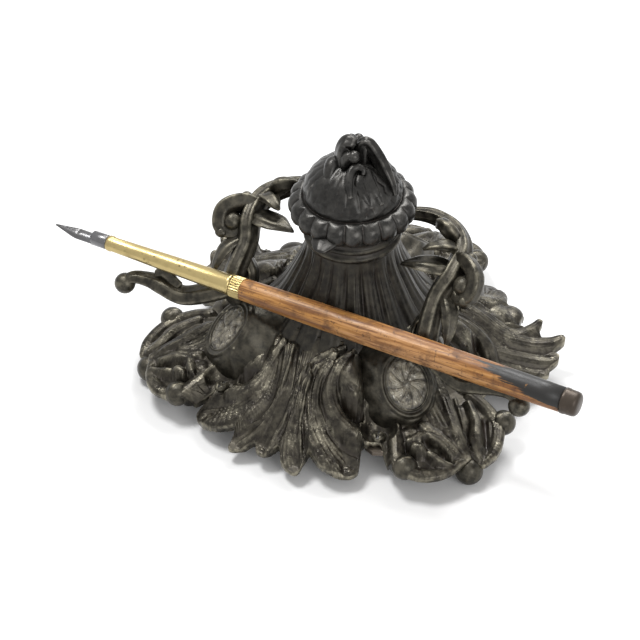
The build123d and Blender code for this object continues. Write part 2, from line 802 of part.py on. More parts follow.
# Spring barrel with its mainspring and the crown-toothed cover
barrel_bore = barrel_radius - barrel_wall
with BuildPart() as spring_barrel:
    with BuildSketch(Plane.XY.offset(barrel_bottom)):
        with Locations(barrel_centre):
            RegularPolygon(barrel_radius, round_sides)
            RegularPolygon(arbor_radius + running_clearance, small_sides, major_radius=False, mode=Mode.SUBTRACT)
    extrude(amount=barrel_height)
    with BuildSketch(Plane.XY.offset(barrel_bottom + barrel_wall)):
        with Locations(barrel_centre):
            RegularPolygon(barrel_bore, round_sides)
    extrude(amount=barrel_height, mode=Mode.SUBTRACT)
save(spring_barrel, "spring_barrel")
spring_steps = 12 * mainspring_turns
spring_inner = arbor_radius + 0.8
spring_outer = barrel_bore - mainspring_thickness - 0.05
coil = [
    (spring_outer + (spring_inner - spring_outer) * step / spring_steps, step * 30)
    for step in range(spring_steps + 1)
]
with BuildPart() as mainspring:
    with BuildSketch(Plane.XY.offset(barrel_bottom + barrel_wall)):
        with Locations(barrel_centre):
            Polygon(
                *[at(radius, bearing, 0) for radius, bearing in coil],
                *[at(radius + mainspring_thickness, bearing, 0) for radius, bearing in reversed(coil)],
                align=None,
            )
    extrude(amount=barrel_height - barrel_wall - barrel_cover - 0.2)
save(mainspring, "mainspring")
with BuildPart() as barrel_cap:
    with BuildSketch(Plane.XY.offset(barrel_top - barrel_cover)):
        with Locations(barrel_centre):
            RegularPolygon(barrel_bore, round_sides)
    extrude(amount=barrel_cover)
    with BuildSketch(Plane.XY.offset(barrel_top)):
        with Locations(barrel_centre):
            with PolarLocations(crown_radius, crown_teeth):
                Rectangle(crown_face, crown_tooth_width)
    extrude(amount=crown_tooth_height, taper=4)
    with BuildSketch(Plane.XY.offset(barrel_top - barrel_cover)):
        with Locations(barrel_centre):
            RegularPolygon(arbor_radius + running_clearance, small_sides, major_radius=False)
    extrude(amount=barrel_cover, mode=Mode.SUBTRACT)
save(barrel_cap, "barrel_cover")

# Cylinder arbor with its leaf pinion over the crown teeth
pinion_left = barrel_x + crown_radius - pinion_face / 2


def crossways(x, y=movement_y, z=axis_z):
    """A plane square to the cylinder's axis: its own X is the object's Y and its own Y is the object's Z."""
    return Plane(origin=(x, y, z), x_dir=(0, 1, 0), z_dir=(1, 0, 0))


gear_left = cylinder_right + gear_gap
frame_left = gear_left + gear_face + 0.8
with BuildPart() as cylinder_arbor:
    with BuildSketch(crossways(pinion_left)):
        toothed_outline(pinion_teeth, pinion_root_radius, pinion_tip_radius, 0.46, 0.18, first=180 / pinion_teeth - 90)
    extrude(amount=pinion_face)
    with BuildSketch(crossways(pinion_left)):
        RegularPolygon(cylinder_arbor_radius, 8)
    extrude(amount=frame_left + frame_plate - pinion_left)
save(cylinder_arbor, "cylinder_arbor")

# Pinned cylinder: each pin passes one tooth of the comb
with BuildPart() as pinned_cylinder:
    with BuildSketch(crossways(cylinder_left)):
        RegularPolygon(cylinder_radius, 24)
    extrude(amount=cylinder_right - cylinder_left)
    pins = []
    for number in range(cylinder_pins):
        track = number * 7 % comb_teeth
        turn = radians(number * 137.5)
        place = Plane(
            origin=(comb_left + (track + 0.5) * comb_pitch, movement_y, axis_z),
            x_dir=(0, cos(turn), sin(turn)), z_dir=(1, 0, 0),
        )
        pin = Box(2 * cylinder_pin_height, cylinder_pin_width, cylinder_pin_width, mode=Mode.PRIVATE)
        pins.append(place.location * Pos(cylinder_radius, 0, 0) * pin)
    add(pins)
    with BuildSketch(crossways(cylinder_left)):
        RegularPolygon(cylinder_arbor_radius, 8)
    extrude(amount=cylinder_right - cylinder_left, mode=Mode.SUBTRACT)
save(pinned_cylinder, "pinned_cylinder")

# Great wheel on the cylinder's arbor, and the governor's wheel and pinion that it drives
gear_pitch_radius = gear_teeth * tooth_module / 2
governor_pinion_pitch_radius = governor_pinion_teeth * tooth_module / 2
governor_distance = gear_pitch_radius + governor_pinion_pitch_radius + 0.05
governor_y = movement_y + governor_distance * cos(radians(governor_bearing))
governor_z = axis_z + governor_distance * sin(radians(governor_bearing))
with BuildPart() as cylinder_gear:
    with BuildSketch(crossways(gear_left)):
        toothed_outline(
            gear_teeth, gear_pitch_radius - tooth_module * 1.25, gear_pitch_radius + tooth_module,
            0.66, 0.22, first=governor_bearing,
        )
        RegularPolygon(cylinder_arbor_radius, 8, mode=Mode.SUBTRACT)
    extrude(amount=gear_face)
save(cylinder_gear, "cylinder_gear")
worm_distance = governor_wheel_tip_radius + worm_root_radius + 0.15
worm_x = frame_left + frame_plate + 0.8
worm_y = governor_y + worm_distance
with BuildPart() as governor_wheel:
    with BuildSketch(crossways(gear_left + 0.2, governor_y, governor_z)):
        toothed_outline(
            governor_pinion_teeth, governor_pinion_pitch_radius - tooth_module * 1.25,
            governor_pinion_pitch_radius + tooth_module, 0.6, 0.22,
            first=governor_bearing + 180 + 180 / governor_pinion_teeth,
        )
    extrude(amount=gear_face - 0.4)
    with BuildSketch(crossways(gear_left, governor_y, governor_z)):
        RegularPolygon(governor_arbor_radius, 8)
    extrude(amount=frame_left + frame_width - gear_left)
    with BuildSketch(crossways(worm_x - governor_wheel_face / 2, governor_y, governor_z)):
        toothed_outline(governor_wheel_teeth, governor_wheel_root_radius, governor_wheel_tip_radius, 0.5, 0.2)
    extrude(amount=governor_wheel_face)
save(governor_wheel, "governor_wheel")

# Worm: one thread that winds up the spindle, in step with the wheel's teeth
thread_pitch = 2 * pi * governor_wheel_pitch_radius / governor_wheel_teeth
thread_steps = 6
thread_profile = (1.0, 0.45, 0, 0, 0, 0, 0, 0.45)
worm_sections = []
for step in range(worm_turns * thread_steps + 1):
    height = governor_z + thread_pitch * (step / thread_steps - worm_turns / 2)
    crest = -90 + 360 * (step / thread_steps - worm_turns / 2) + 180
    worm_sections.append([
        at(worm_root_radius + (worm_tip_radius - worm_root_radius) * share, crest + 45 * number, height)
        + Vector(worm_x, worm_y)
        for number, share in enumerate(thread_profile)
    ])
with BuildPart() as worm:
    with BuildSketch(Plane.XY.offset(bed_top + 0.4)):
        with Locations((worm_x, worm_y)):
            RegularPolygon(worm_pivot_radius, 8)
    extrude(amount=frame_top - bed_top - 0.8)
    add(facets(worm_sections))
save(worm, "worm")
with BuildPart() as fly:
    with BuildSketch(Plane.XY.offset(fly_level)):
        with Locations((worm_x, worm_y)):
            Rectangle(2 * fly_radius * 0.98, fly_thickness)
            RegularPolygon(worm_pivot_radius + 0.5, 8)
            RegularPolygon(worm_pivot_radius, 8, mode=Mode.SUBTRACT)
    extrude(amount=fly_height)
save(fly, "fly")

# Governor frame: a foot, two plates and an arm over the fly
with BuildPart() as governor_frame:
    with BuildSketch(Plane.XY.offset(bed_top)):
        with Locations((frame_left + frame_width / 2, (movement_y - 2.5 + worm_y + 2.5) / 2)):
            Rectangle(frame_width, worm_y - movement_y + 5)
    extrude(amount=frame_foot)
    with BuildSketch(Plane.YZ.offset(frame_left)):
        Polygon(
            (movement_y - 2.5, bed_top), (governor_y + 3.4, bed_top), (governor_y + 3.4, governor_z + 2.0),
            (governor_y + 1.0, governor_z + 3.6), (movement_y + 2.6, axis_z + 2.2), (movement_y - 2.5, axis_z + 2.2),
            align=None,
        )
    extrude(amount=frame_plate)
    with BuildSketch(Plane.YZ.offset(frame_left + frame_width - frame_plate)):
        Polygon(
            (governor_y - 4.4, bed_top), (governor_y + 3.4, bed_top), (governor_y + 3.4, governor_z + 2.0),
            (governor_y + 1.2, governor_z + 4.0), (governor_y + 1.2, frame_top), (governor_y - 3.0, frame_top),
            align=None,
        )
    extrude(amount=frame_plate)
    with BuildSketch(Plane.XY.offset(frame_top)):
        Polygon(
            (frame_left + frame_width, governor_y - 3.0), (frame_left + frame_width, governor_y + 3.0),
            (worm_x + 1.4, worm_y + 1.4), (worm_x - 1.4, worm_y + 1.4), (worm_x - 1.4, governor_y - 1.0), align=None,
        )
    extrude(amount=-frame_plate - 0.2)
    with BuildSketch(Plane.XY.offset(bed_top)):
        with Locations((worm_x, worm_y)):
            RegularPolygon(worm_pivot_radius + running_clearance, 8, major_radius=False)
    extrude(amount=frame_top - bed_top, mode=Mode.SUBTRACT)
    with BuildSketch(crossways(frame_left, governor_y, governor_z)):
        RegularPolygon(governor_arbor_radius + running_clearance, 8, major_radius=False)
    extrude(amount=frame_width, mode=Mode.SUBTRACT)
    with BuildSketch(crossways(frame_left)):
        RegularPolygon(cylinder_arbor_radius + running_clearance, 8, major_radius=False)
    extrude(amount=frame_plate, mode=Mode.SUBTRACT)
save(governor_frame, "governor_frame")

# Cock that carries the cylinder's arbor beside the barrel
cock_left = cylinder_left - cock_thickness - 0.6
with BuildPart() as cylinder_cock:
    with BuildSketch(Plane.YZ.offset(cock_left)):
        Polygon(
            (movement_y - cock_width / 2 - 1.5, bed_top), (movement_y + cock_width / 2 + 1.5, bed_top),
            (movement_y + cock_width / 2 - 0.6, axis_z + 2.4), (movement_y - cock_width / 2 + 0.6, axis_z + 2.4),
            align=None,
        )
    extrude(amount=cock_thickness)
    with BuildSketch(crossways(cock_left)):
        RegularPolygon(cylinder_arbor_radius + running_clearance, 8, major_radius=False)
    extrude(amount=cock_thickness, mode=Mode.SUBTRACT)
save(cylinder_cock, "cylinder_cock")

# Comb: its teeth are cut by slots and grow longer towards the bass, on a block with three screws
comb_tip = movement_y + cylinder_radius + cylinder_pin_height + comb_tip_clearance
comb_right = comb_left + comb_teeth * comb_pitch
comb_bottom = axis_z - comb_thickness / 2
comb_outline = [(comb_right, comb_back), (comb_left, comb_back)]
for tooth in range(comb_teeth):
    length = comb_bass_length + (comb_treble_length - comb_bass_length) * tooth / (comb_teeth - 1)
    start, end = comb_left + tooth * comb_pitch + comb_slot / 2, comb_left + (tooth + 1) * comb_pitch - comb_slot / 2
    root = comb_tip + length
    comb_outline += [(start, root), (start, comb_tip), (end, comb_tip), (end, root)]
comb_screw_places = [
    (comb_left + (comb_right - comb_left) * (number + 0.5) / comb_screw_count, comb_back - 3.0)
    for number in range(comb_screw_count)
]
with BuildPart() as comb:
    with BuildSketch(Plane.XY.offset(comb_bottom)):
        Polygon(*comb_outline, align=None)
        with Locations(*comb_screw_places):
            RegularPolygon(comb_screw_radius, 8, mode=Mode.SUBTRACT)
    extrude(amount=comb_thickness)
save(comb, "comb")
with BuildPart() as comb_base:
    with BuildSketch(Plane.XY.offset(bed_top)):
        with Locations(((comb_left + comb_right) / 2, comb_back - 3.2)):
            Rectangle(comb_right - comb_left, 6.4)
        with Locations(*comb_screw_places):
            RegularPolygon(comb_screw_radius, 8, mode=Mode.SUBTRACT)
    extrude(amount=comb_bottom - bed_top)
save(comb_base, "comb_base")
comb_screws = screws(
    comb_screw_places, comb_bottom + comb_thickness, comb_head_radius, comb_head_height,
    comb_screw_radius, comb_thickness + 6,
)
save(comb_screws, "comb_screws")

# Start rod under the lid, and the stop lever that it lets rise clear of the fly
rod_place = (rod_x, rod_y)
rod_bottom = lever_z + lever_thickness / 2 + lever_drop
with BuildPart() as start_rod:
    with BuildSketch(Plane.XY.offset(rod_bottom)):
        with Locations(rod_place):
            RegularPolygon(rod_radius, small_sides)
    extrude(amount=neck_top + 0.1 - rod_bottom)
save(start_rod, "start_rod")
lever_right = worm_x - fly_radius - 0.4
lever_pivot_x = lever_right - 1.7
with BuildPart() as stop_lever:
    with BuildSketch(Plane.XZ.offset(-rod_y)):
        Polygon(
            (rod_x - 0.8, lever_z - 0.5 * lever_thickness), (lever_right - 1.0, lever_z - 0.5 * lever_thickness),
            (lever_right - 1.0, lever_z - 1.9), (lever_right, lever_z - 1.9),
            (lever_right, lever_z + 0.5 * lever_thickness), (rod_x - 0.8, lever_z + 0.5 * lever_thickness), align=None,
        )
    extrude(amount=lever_width / 2, both=True)
    with BuildSketch(Plane.XZ.offset(-rod_y)):
        with Locations((lever_pivot_x, lever_z)):
            RegularPolygon(lever_pin_radius + 0.7, 8)
    extrude(amount=lever_width / 2, both=True)
    with BuildSketch(Plane.XZ.offset(-rod_y)):
        with Locations((lever_pivot_x, lever_z)):
            RegularPolygon(lever_pin_radius + running_clearance, 8, major_radius=False)
    extrude(amount=lever_width, both=True, mode=Mode.SUBTRACT)
save(stop_lever, "stop_lever")
ear_inner = lever_width / 2 + 0.5
ear_outer = ear_inner + 1.0
with BuildPart() as lever_bracket:
    with BuildSketch(Plane.YZ.offset(lever_pivot_x - 1)):
        Polygon(
            (rod_y - ear_outer, bed_top), (rod_y + ear_outer, bed_top), (rod_y + ear_outer, lever_z + 1),
            (rod_y + ear_inner, lever_z + 1), (rod_y + ear_inner, lever_z - 3), (rod_y - ear_inner, lever_z - 3),
            (rod_y - ear_inner, lever_z + 1), (rod_y - ear_outer, lever_z + 1), align=None,
        )
    extrude(amount=2)
    with BuildSketch(Plane.XZ.offset(-rod_y)):
        with Locations((lever_pivot_x, lever_z)):
            RegularPolygon(lever_pin_radius, 8)
    extrude(amount=2 * ear_outer, both=True, mode=Mode.SUBTRACT)
save(lever_bracket, "lever_bracket")
with BuildPart() as lever_pin:
    with BuildSketch(Plane.XZ.offset(-rod_y)):
        with Locations((lever_pivot_x, lever_z)):
            RegularPolygon(lever_pin_radius, 8)
    extrude(amount=ear_outer, both=True)
save(lever_pin, "lever_pin")

# Dip pen: nib, holder, tapered ferrule, ribbed band, wooden handle and cap on one sloping line
pen_axis = Vector(1, pen_sideways, pen_fall).normalized()


def along_pen(x):
    """The plane square to the pen where its axis passes the given X."""
    return Plane(origin=(x, pen_y + pen_sideways * x, pen_z + pen_fall * x), x_dir=(0, 0, 1), z_dir=pen_axis)


def turned(stations, label, sides=16):
    """A turned piece of the pen through stations of X and radius."""
    with BuildPart() as piece:
        add(facets([oval(along_pen(x), 2 * radius, 2 * radius, sides=sides) for x, radius in stations]))
    save(piece, label)


nib_end = pen_start + nib_length
holder_end = nib_end + nib_holder_length
ferrule_end = holder_end + ferrule_length
band_end = ferrule_end + band_length
handle_end = pen_end - cap_length
nib_sections = []
for x, half in ((pen_start, 0.15), (pen_start + 5, 1.3), (pen_start + 9, nib_width / 2), (nib_end, nib_width / 2)):
    across = along_pen(x)
    nib_sections.append(
        [across.from_local_coords((-0.25 * side * side * half, side * half, 0)) for side in (-1, -0.5, 0, 0.5, 1)]
        + [
            across.from_local_coords((-0.25 * side * side * half - nib_thickness, side * half * 0.9, 0))
            for side in (1, 0.5, 0, -0.5, -1)
        ]
    )
with BuildPart() as nib:
    add(facets(nib_sections))
save(nib, "nib")
turned([(nib_end, ferrule_tip_radius), (holder_end, ferrule_tip_radius)], "nib_holder")
turned([(holder_end, ferrule_tip_radius - 0.1), (ferrule_end, ferrule_radius)], "ferrule")
with BuildPart() as ferrule_band:
    band = []
    for x in (ferrule_end, band_end):
        across = along_pen(x)
        band.append([across.from_local_coords(point) for point in star(band_ribs, band_radius, band_radius - 0.25, 0)])
    add(facets(band))
save(ferrule_band, "ferrule_band")
turned(
    [(band_end, ferrule_radius + 0.2), (band_end + 48, handle_radius), (handle_end, handle_end_radius)], "pen_handle",
)
turned([(handle_end, handle_end_radius + 0.2), (pen_end - 1, handle_end_radius + 0.1), (pen_end, 3.0)], "pen_cap")
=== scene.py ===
import json
from math import cos, hypot, pi, radians, sin

import bmesh
import bpy
import numpy as np
from mathutils import Matrix, Vector


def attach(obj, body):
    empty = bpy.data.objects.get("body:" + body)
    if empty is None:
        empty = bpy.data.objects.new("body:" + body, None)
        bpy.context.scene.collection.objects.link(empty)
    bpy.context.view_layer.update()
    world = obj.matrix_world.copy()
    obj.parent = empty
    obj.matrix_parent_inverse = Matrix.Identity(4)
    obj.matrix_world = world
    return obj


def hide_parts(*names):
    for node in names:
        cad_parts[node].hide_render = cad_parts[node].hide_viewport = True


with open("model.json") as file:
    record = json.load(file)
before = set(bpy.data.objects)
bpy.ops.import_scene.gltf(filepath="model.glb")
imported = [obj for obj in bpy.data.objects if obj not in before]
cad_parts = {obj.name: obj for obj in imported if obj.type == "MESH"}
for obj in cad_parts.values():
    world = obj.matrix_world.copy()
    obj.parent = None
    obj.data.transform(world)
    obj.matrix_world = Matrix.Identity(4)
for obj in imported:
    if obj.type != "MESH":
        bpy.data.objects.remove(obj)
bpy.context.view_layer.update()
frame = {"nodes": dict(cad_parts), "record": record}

# Sizes of the casting, in millimetres, as in the metal model
WEB_TOP = 11.3
WEB_RADIUS = 52.0
NECK_TOP = 65.8
LEAF_BEARINGS = (-90, 30, 150)
FOOT_BEARINGS = (-31, 211, 90)
MEDALLION_BEARINGS = (-40, 220, 90)
MEDALLION_DISTANCE, MEDALLION_HEIGHT, MEDALLION_TILT = 43.0, 26.0, 42.0
MEDALLION_WIDTH, MEDALLION_LENGTH = 17.0, 21.0
SCREW_PLACES = [(49.7, bearing) for bearing in (-54.6, -125.4, 65.4, 114.6)]
LID_BOTTOM = 66.1
PEN_START, PEN_END = -101.4, 93.2
# The pen's axis where X is 0, as Y and Z, and how far it moves in Y and Z for each millimetre of X
PEN_AXIS = (-25.72, 41.75)
PEN_SLOPE = (-0.0367, -0.0101)


def polar(radius, bearing, height=0.0):
    """A point at a distance and bearing from the neck's axis."""
    return Vector((radius * cos(radians(bearing)), radius * sin(radians(bearing)), height))


# Finishes


def node(tree, kind, at=(0, 0), **settings):
    """Adds a shader node and sets its properties."""
    made = tree.nodes.new(kind)
    made.location = at
    for key, value in settings.items():
        setattr(made, key, value)
    return made


def noise(tree, vector, scale, detail=4.0, roughness=0.55):
    """Adds a noise texture on the given coordinates."""
    made = node(tree, "ShaderNodeTexNoise")
    made.inputs["Scale"].default_value = scale
    made.inputs["Detail"].default_value = detail
    made.inputs["Roughness"].default_value = roughness
    tree.links.new(vector, made.inputs["Vector"])
    return made.outputs["Fac"]


def spread(tree, value, low, high, out_low=0.0, out_high=1.0):
    """Maps a value's range to another, clamped."""
    made = node(tree, "ShaderNodeMapRange")
    made.inputs["From Min"].default_value = low
    made.inputs["From Max"].default_value = high
    made.inputs["To Min"].default_value = out_low
    made.inputs["To Max"].default_value = out_high
    tree.links.new(value, made.inputs["Value"])
    return made.outputs["Result"]


def maths(tree, operation, first, second):
    """Adds a math node. Each side is a socket or a number."""
    made = node(tree, "ShaderNodeMath", operation=operation)
    for slot, value in zip(made.inputs, (first, second)):
        if isinstance(value, (int, float)):
            slot.default_value = value
        else:
            tree.links.new(value, slot)
    return made.outputs[0]


def blend(tree, factor, first, second):
    """Mixes two colours. Each is a socket or a colour."""
    made = node(tree, "ShaderNodeMix", data_type="RGBA")
    if isinstance(factor, (int, float)):
        made.inputs["Factor"].default_value = factor
    else:
        tree.links.new(factor, made.inputs["Factor"])
    for name, value in (("A", first), ("B", second)):
        slot = [s for s in made.inputs if s.name == name and s.type == "RGBA"][0]
        if isinstance(value, (tuple, list)):
            slot.default_value = (*value, 1)
        else:
            tree.links.new(value, slot)
    return [s for s in made.outputs if s.type == "RGBA"][0]


def new_group(name, inputs, outputs):
    """Starts a shader node group with named sockets."""
    tree = bpy.data.node_groups.new(name, "ShaderNodeTree")
    for label, kind, value in inputs:
        made = tree.interface.new_socket(name=label, in_out="INPUT", socket_type=kind)
        made.default_value = value
    for label, kind in outputs:
        tree.interface.new_socket(name=label, in_out="OUTPUT", socket_type=kind)
    return tree, node(tree, "NodeGroupInput", (-1200, 0)), node(tree, "NodeGroupOutput", (900, 0))


def patina_group():
    """Rubbed edges and crests with painted glints in specks on them, crevice dirt, mottling and fine relief
    for old cast metal.
    """
    tree, given, result = new_group(
        "old_metal",
        [
            ("Grain", "NodeSocketFloat", 900.0), ("WearAndGlintAmount", "NodeSocketFloat", 1.0),
            ("Dirt", "NodeSocketFloat", 1.0), ("Relief", "NodeSocketFloat", 0.5),
        ],
        [
            ("WearAndGlints", "NodeSocketFloat"), ("Crevice", "NodeSocketFloat"),
            ("Mottle", "NodeSocketFloat"), ("Height", "NodeSocketFloat"),
        ],
    )
    place = node(tree, "ShaderNodeTexCoord").outputs["Object"]
    point = node(tree, "ShaderNodeNewGeometry").outputs["Pointiness"]
    coarse = noise(tree, place, 110, 5)
    mottle = noise(tree, place, 300, 6, 0.65)
    fine = node(tree, "ShaderNodeTexNoise")
    fine.inputs["Detail"].default_value = 3
    fine.inputs["Roughness"].default_value = 0.7
    tree.links.new(place, fine.inputs["Vector"])
    tree.links.new(given.outputs["Grain"], fine.inputs["Scale"])
    specks = node(tree, "ShaderNodeTexNoise")
    specks.inputs["Scale"].default_value = 1500
    specks.inputs["Detail"].default_value = 2
    tree.links.new(place, specks.inputs["Vector"])
    edge = spread(tree, point, 0.52, 0.61, 0.0, 0.75)
    patchy = spread(tree, mottle, 0.42, 0.62, 0.15, 1.0)
    crest = spread(tree, given.outputs["Relief"], 0.6, 1.05)
    rubbed = maths(tree, "MULTIPLY", crest, spread(tree, coarse, 0.48, 0.66))
    # Painted glints: bright specks on the rubbed crests stand in for highlights and are given the worn
    # colour.
    glint = maths(tree, "MULTIPLY", spread(tree, specks.outputs["Fac"], 0.56, 0.66), rubbed)
    worn = maths(tree, "MAXIMUM", edge, maths(tree, "MULTIPLY", rubbed, 0.4))
    # This mask holds the edge and crest wear together with the painted glints.
    wear_and_glints = maths(tree, "MAXIMUM", maths(tree, "MULTIPLY", worn, patchy), glint)
    tree.links.new(maths(tree, "MULTIPLY", wear_and_glints, given.outputs["WearAndGlintAmount"]), result.inputs["WearAndGlints"])
    hollow = spread(tree, point, 0.495, 0.44)
    low = spread(tree, given.outputs["Relief"], 0.3, 0.0)
    stained = spread(tree, coarse, 0.3, 0.6, 0.35, 1.0)
    deep = maths(tree, "MULTIPLY", maths(tree, "MAXIMUM", hollow, low), stained)
    tree.links.new(maths(tree, "MULTIPLY", deep, given.outputs["Dirt"]), result.inputs["Crevice"])
    tree.links.new(mottle, result.inputs["Mottle"])
    small = maths(tree, "MULTIPLY", fine.outputs["Fac"], 0.6)
    rough = maths(tree, "ADD", small, maths(tree, "MULTIPLY", mottle, 0.4))
    tree.links.new(rough, result.inputs["Height"])
    return tree


def speck_group():
    """Small dark tarnish spots and drifting stains."""
    tree, given, result = new_group(
        "tarnish_spots", [("Size", "NodeSocketFloat", 500.0), ("Amount", "NodeSocketFloat", 0.5)],
        [("Spots", "NodeSocketFloat"), ("Stain", "NodeSocketFloat")],
    )
    place = node(tree, "ShaderNodeTexCoord").outputs["Object"]
    cells = node(tree, "ShaderNodeTexVoronoi")
    tree.links.new(place, cells.inputs["Vector"])
    tree.links.new(given.outputs["Size"], cells.inputs["Scale"])
    dots = spread(tree, cells.outputs["Distance"], 0.3, 0.12)
    where = spread(tree, noise(tree, place, 140, 4), 0.5, 0.62)
    spots = maths(tree, "MULTIPLY", maths(tree, "MULTIPLY", dots, where), given.outputs["Amount"])
    tree.links.new(spots, result.inputs["Spots"])
    stain = spread(tree, noise(tree, place, 90, 7, 0.7), 0.42, 0.68)
    tree.links.new(maths(tree, "MULTIPLY", stain, given.outputs["Amount"]), result.inputs["Stain"])
    return tree


PATINA = patina_group()
SPECKS = speck_group()


def new_finish(name):
    """Starts a material and returns it with its tree and its surface shader."""
    finish = bpy.data.materials.new(name)
    finish.use_nodes = True
    tree = finish.node_tree
    return finish, tree, tree.nodes["Principled BSDF"]


def use_group(tree, group, **values):
    """Places a node group with its own values."""
    made = node(tree, "ShaderNodeGroup", node_tree=group)
    for key, value in values.items():
        if isinstance(value, (int, float)):
            made.inputs[key].default_value = value
        else:
            tree.links.new(value, made.inputs[key])
    return made.outputs


def roughen(tree, shader, height, strength, distance):
    """Feeds a height into the shader's normal."""
    bump = node(tree, "ShaderNodeBump")
    bump.inputs["Strength"].default_value = strength
    bump.inputs["Distance"].default_value = distance
    tree.links.new(height, bump.inputs["Height"])
    tree.links.new(bump.outputs["Normal"], shader.inputs["Normal"])


def cast_finish(
    name, dark, mid, worn, dirt, metallic=0.7, rough=(0.34, 0.6), wear_and_glints=1.0, grime=1.0,
    grain=900.0, strength=0.35, relief=False,
):
    """Old cast metal: dark patina with lighter mottling, rubbed crests with painted glints on them, and dirty
    hollows.
    """
    finish, tree, shader = new_finish(name)
    values = {"Grain": grain, "WearAndGlintAmount": wear_and_glints, "Dirt": grime}
    if relief:
        values["Relief"] = node(tree, "ShaderNodeAttribute", attribute_name="relief").outputs["Fac"]
    masks = use_group(tree, PATINA, **values)
    colour = blend(tree, spread(tree, masks["Mottle"], 0.38, 0.66), dark, mid)
    colour = blend(tree, masks["Crevice"], colour, dirt)
    # The worn colour goes on rubbed edges and crests, and as painted glints in specks on the crests.
    colour = blend(tree, masks["WearAndGlints"], colour, worn)
    tree.links.new(colour, shader.inputs["Base Color"])
    tree.links.new(spread(tree, masks["Mottle"], 0.3, 0.7, *rough), shader.inputs["Roughness"])
    metal = maths(tree, "SUBTRACT", metallic, maths(tree, "MULTIPLY", masks["Crevice"], 0.6 * metallic))
    tree.links.new(metal, shader.inputs["Metallic"])
    roughen(tree, shader, masks["Height"], strength, 0.0004)
    return finish


def bare_metal(name, bright, dull, spot, rough, amount, metallic=1.0, size=500.0):
    """Worked metal with tarnish spots, stains and light scratches."""
    finish, tree, shader = new_finish(name)
    place = node(tree, "ShaderNodeTexCoord").outputs["Object"]
    masks = use_group(tree, SPECKS, Size=size, Amount=amount)
    colour = blend(tree, masks["Stain"], bright, dull)
    colour = blend(tree, masks["Spots"], colour, spot)
    tree.links.new(colour, shader.inputs["Base Color"])
    tree.links.new(spread(tree, masks["Stain"], 0.0, 0.8, *rough), shader.inputs["Roughness"])
    shader.inputs["Metallic"].default_value = metallic
    roughen(tree, shader, noise(tree, place, 900, 3), 0.12, 0.0002)
    return finish


def wood_finish():
    """Varnished wood with long grain, scratches, and black paint worn off in places."""
    finish, tree, shader = new_finish("varnished_wood")
    reddish, golden, bleached = (0.21, 0.085, 0.022), (0.45, 0.215, 0.056), (0.50, 0.27, 0.125)
    pores, stain = (0.12, 0.040, 0.012), (0.085, 0.034, 0.014)
    flecked, black = (0.045, 0.020, 0.010), (0.012, 0.011, 0.010)
    place = node(tree, "ShaderNodeTexCoord").outputs["Object"]
    stretched = node(tree, "ShaderNodeMapping")
    stretched.inputs["Scale"].default_value = (0.055, 1, 1)
    tree.links.new(place, stretched.inputs["Vector"])
    along = stretched.outputs["Vector"]
    grain = noise(tree, along, 1500, 5, 0.6)
    patch = noise(tree, place, 150, 5, 0.6)
    colour = blend(tree, spread(tree, noise(tree, along, 520, 4, 0.6), 0.42, 0.60), reddish, golden)
    for pattern, low, high, amount, tint in (
        (noise(tree, along, 260, 4, 0.7), 0.54, 0.64, 0.6, bleached),
        (grain, 0.52, 0.62, 0.8, pores),
        (patch, 0.52, 0.66, 0.75, stain),
        (noise(tree, place, 900, 3, 0.6), 0.60, 0.68, 0.7, flecked),
    ):
        colour = blend(tree, maths(tree, "MULTIPLY", spread(tree, pattern, low, high), amount), colour, tint)
    axes = node(tree, "ShaderNodeSeparateXYZ")
    tree.links.new(place, axes.inputs["Vector"])
    fall = maths(tree, "MULTIPLY", axes.outputs["X"], PEN_SLOPE[1])
    height = spread(tree, maths(tree, "SUBTRACT", axes.outputs["Z"], fall), 0.0388, 0.0462, -1.0, 1.0)
    lengthways = spread(tree, axes.outputs["X"], 0.052, 0.092, -0.9, 1.25)
    ragged = spread(tree, noise(tree, along, 700, 5, 0.7), 0.3, 0.7, -0.45, 0.45)
    painted = spread(tree, maths(tree, "ADD", maths(tree, "ADD", height, lengthways), ragged), 0.42, 0.55)
    whole = spread(tree, noise(tree, place, 420, 4, 0.7), 0.27, 0.33)
    colour = blend(tree, maths(tree, "MULTIPLY", painted, whole), colour, black)
    tree.links.new(colour, shader.inputs["Base Color"])
    tree.links.new(spread(tree, patch, 0.35, 0.7, 0.36, 0.6), shader.inputs["Roughness"])
    shader.inputs["Specular IOR Level"].default_value = 0.35
    shader.inputs["Coat Weight"].default_value = 0.12
    shader.inputs["Coat Roughness"].default_value = 0.3
    sunk = maths(tree, "MULTIPLY", grain, -0.5)
    roughen(tree, shader, maths(tree, "ADD", sunk, maths(tree, "MULTIPLY", painted, 0.5)), 0.25, 0.0003)
    return finish


def glass_finish():
    """Old clear glass with faint ink stains."""
    finish, tree, shader = new_finish("liner_glass")
    masks = use_group(tree, SPECKS, Size=260.0, Amount=0.5)
    colour = blend(tree, masks["Stain"], (0.72, 0.78, 0.74), (0.24, 0.26, 0.34))
    tree.links.new(colour, shader.inputs["Base Color"])
    tree.links.new(spread(tree, masks["Stain"], 0.0, 1.0, 0.08, 0.3), shader.inputs["Roughness"])
    shader.inputs["Transmission Weight"].default_value = 0.7
    return finish


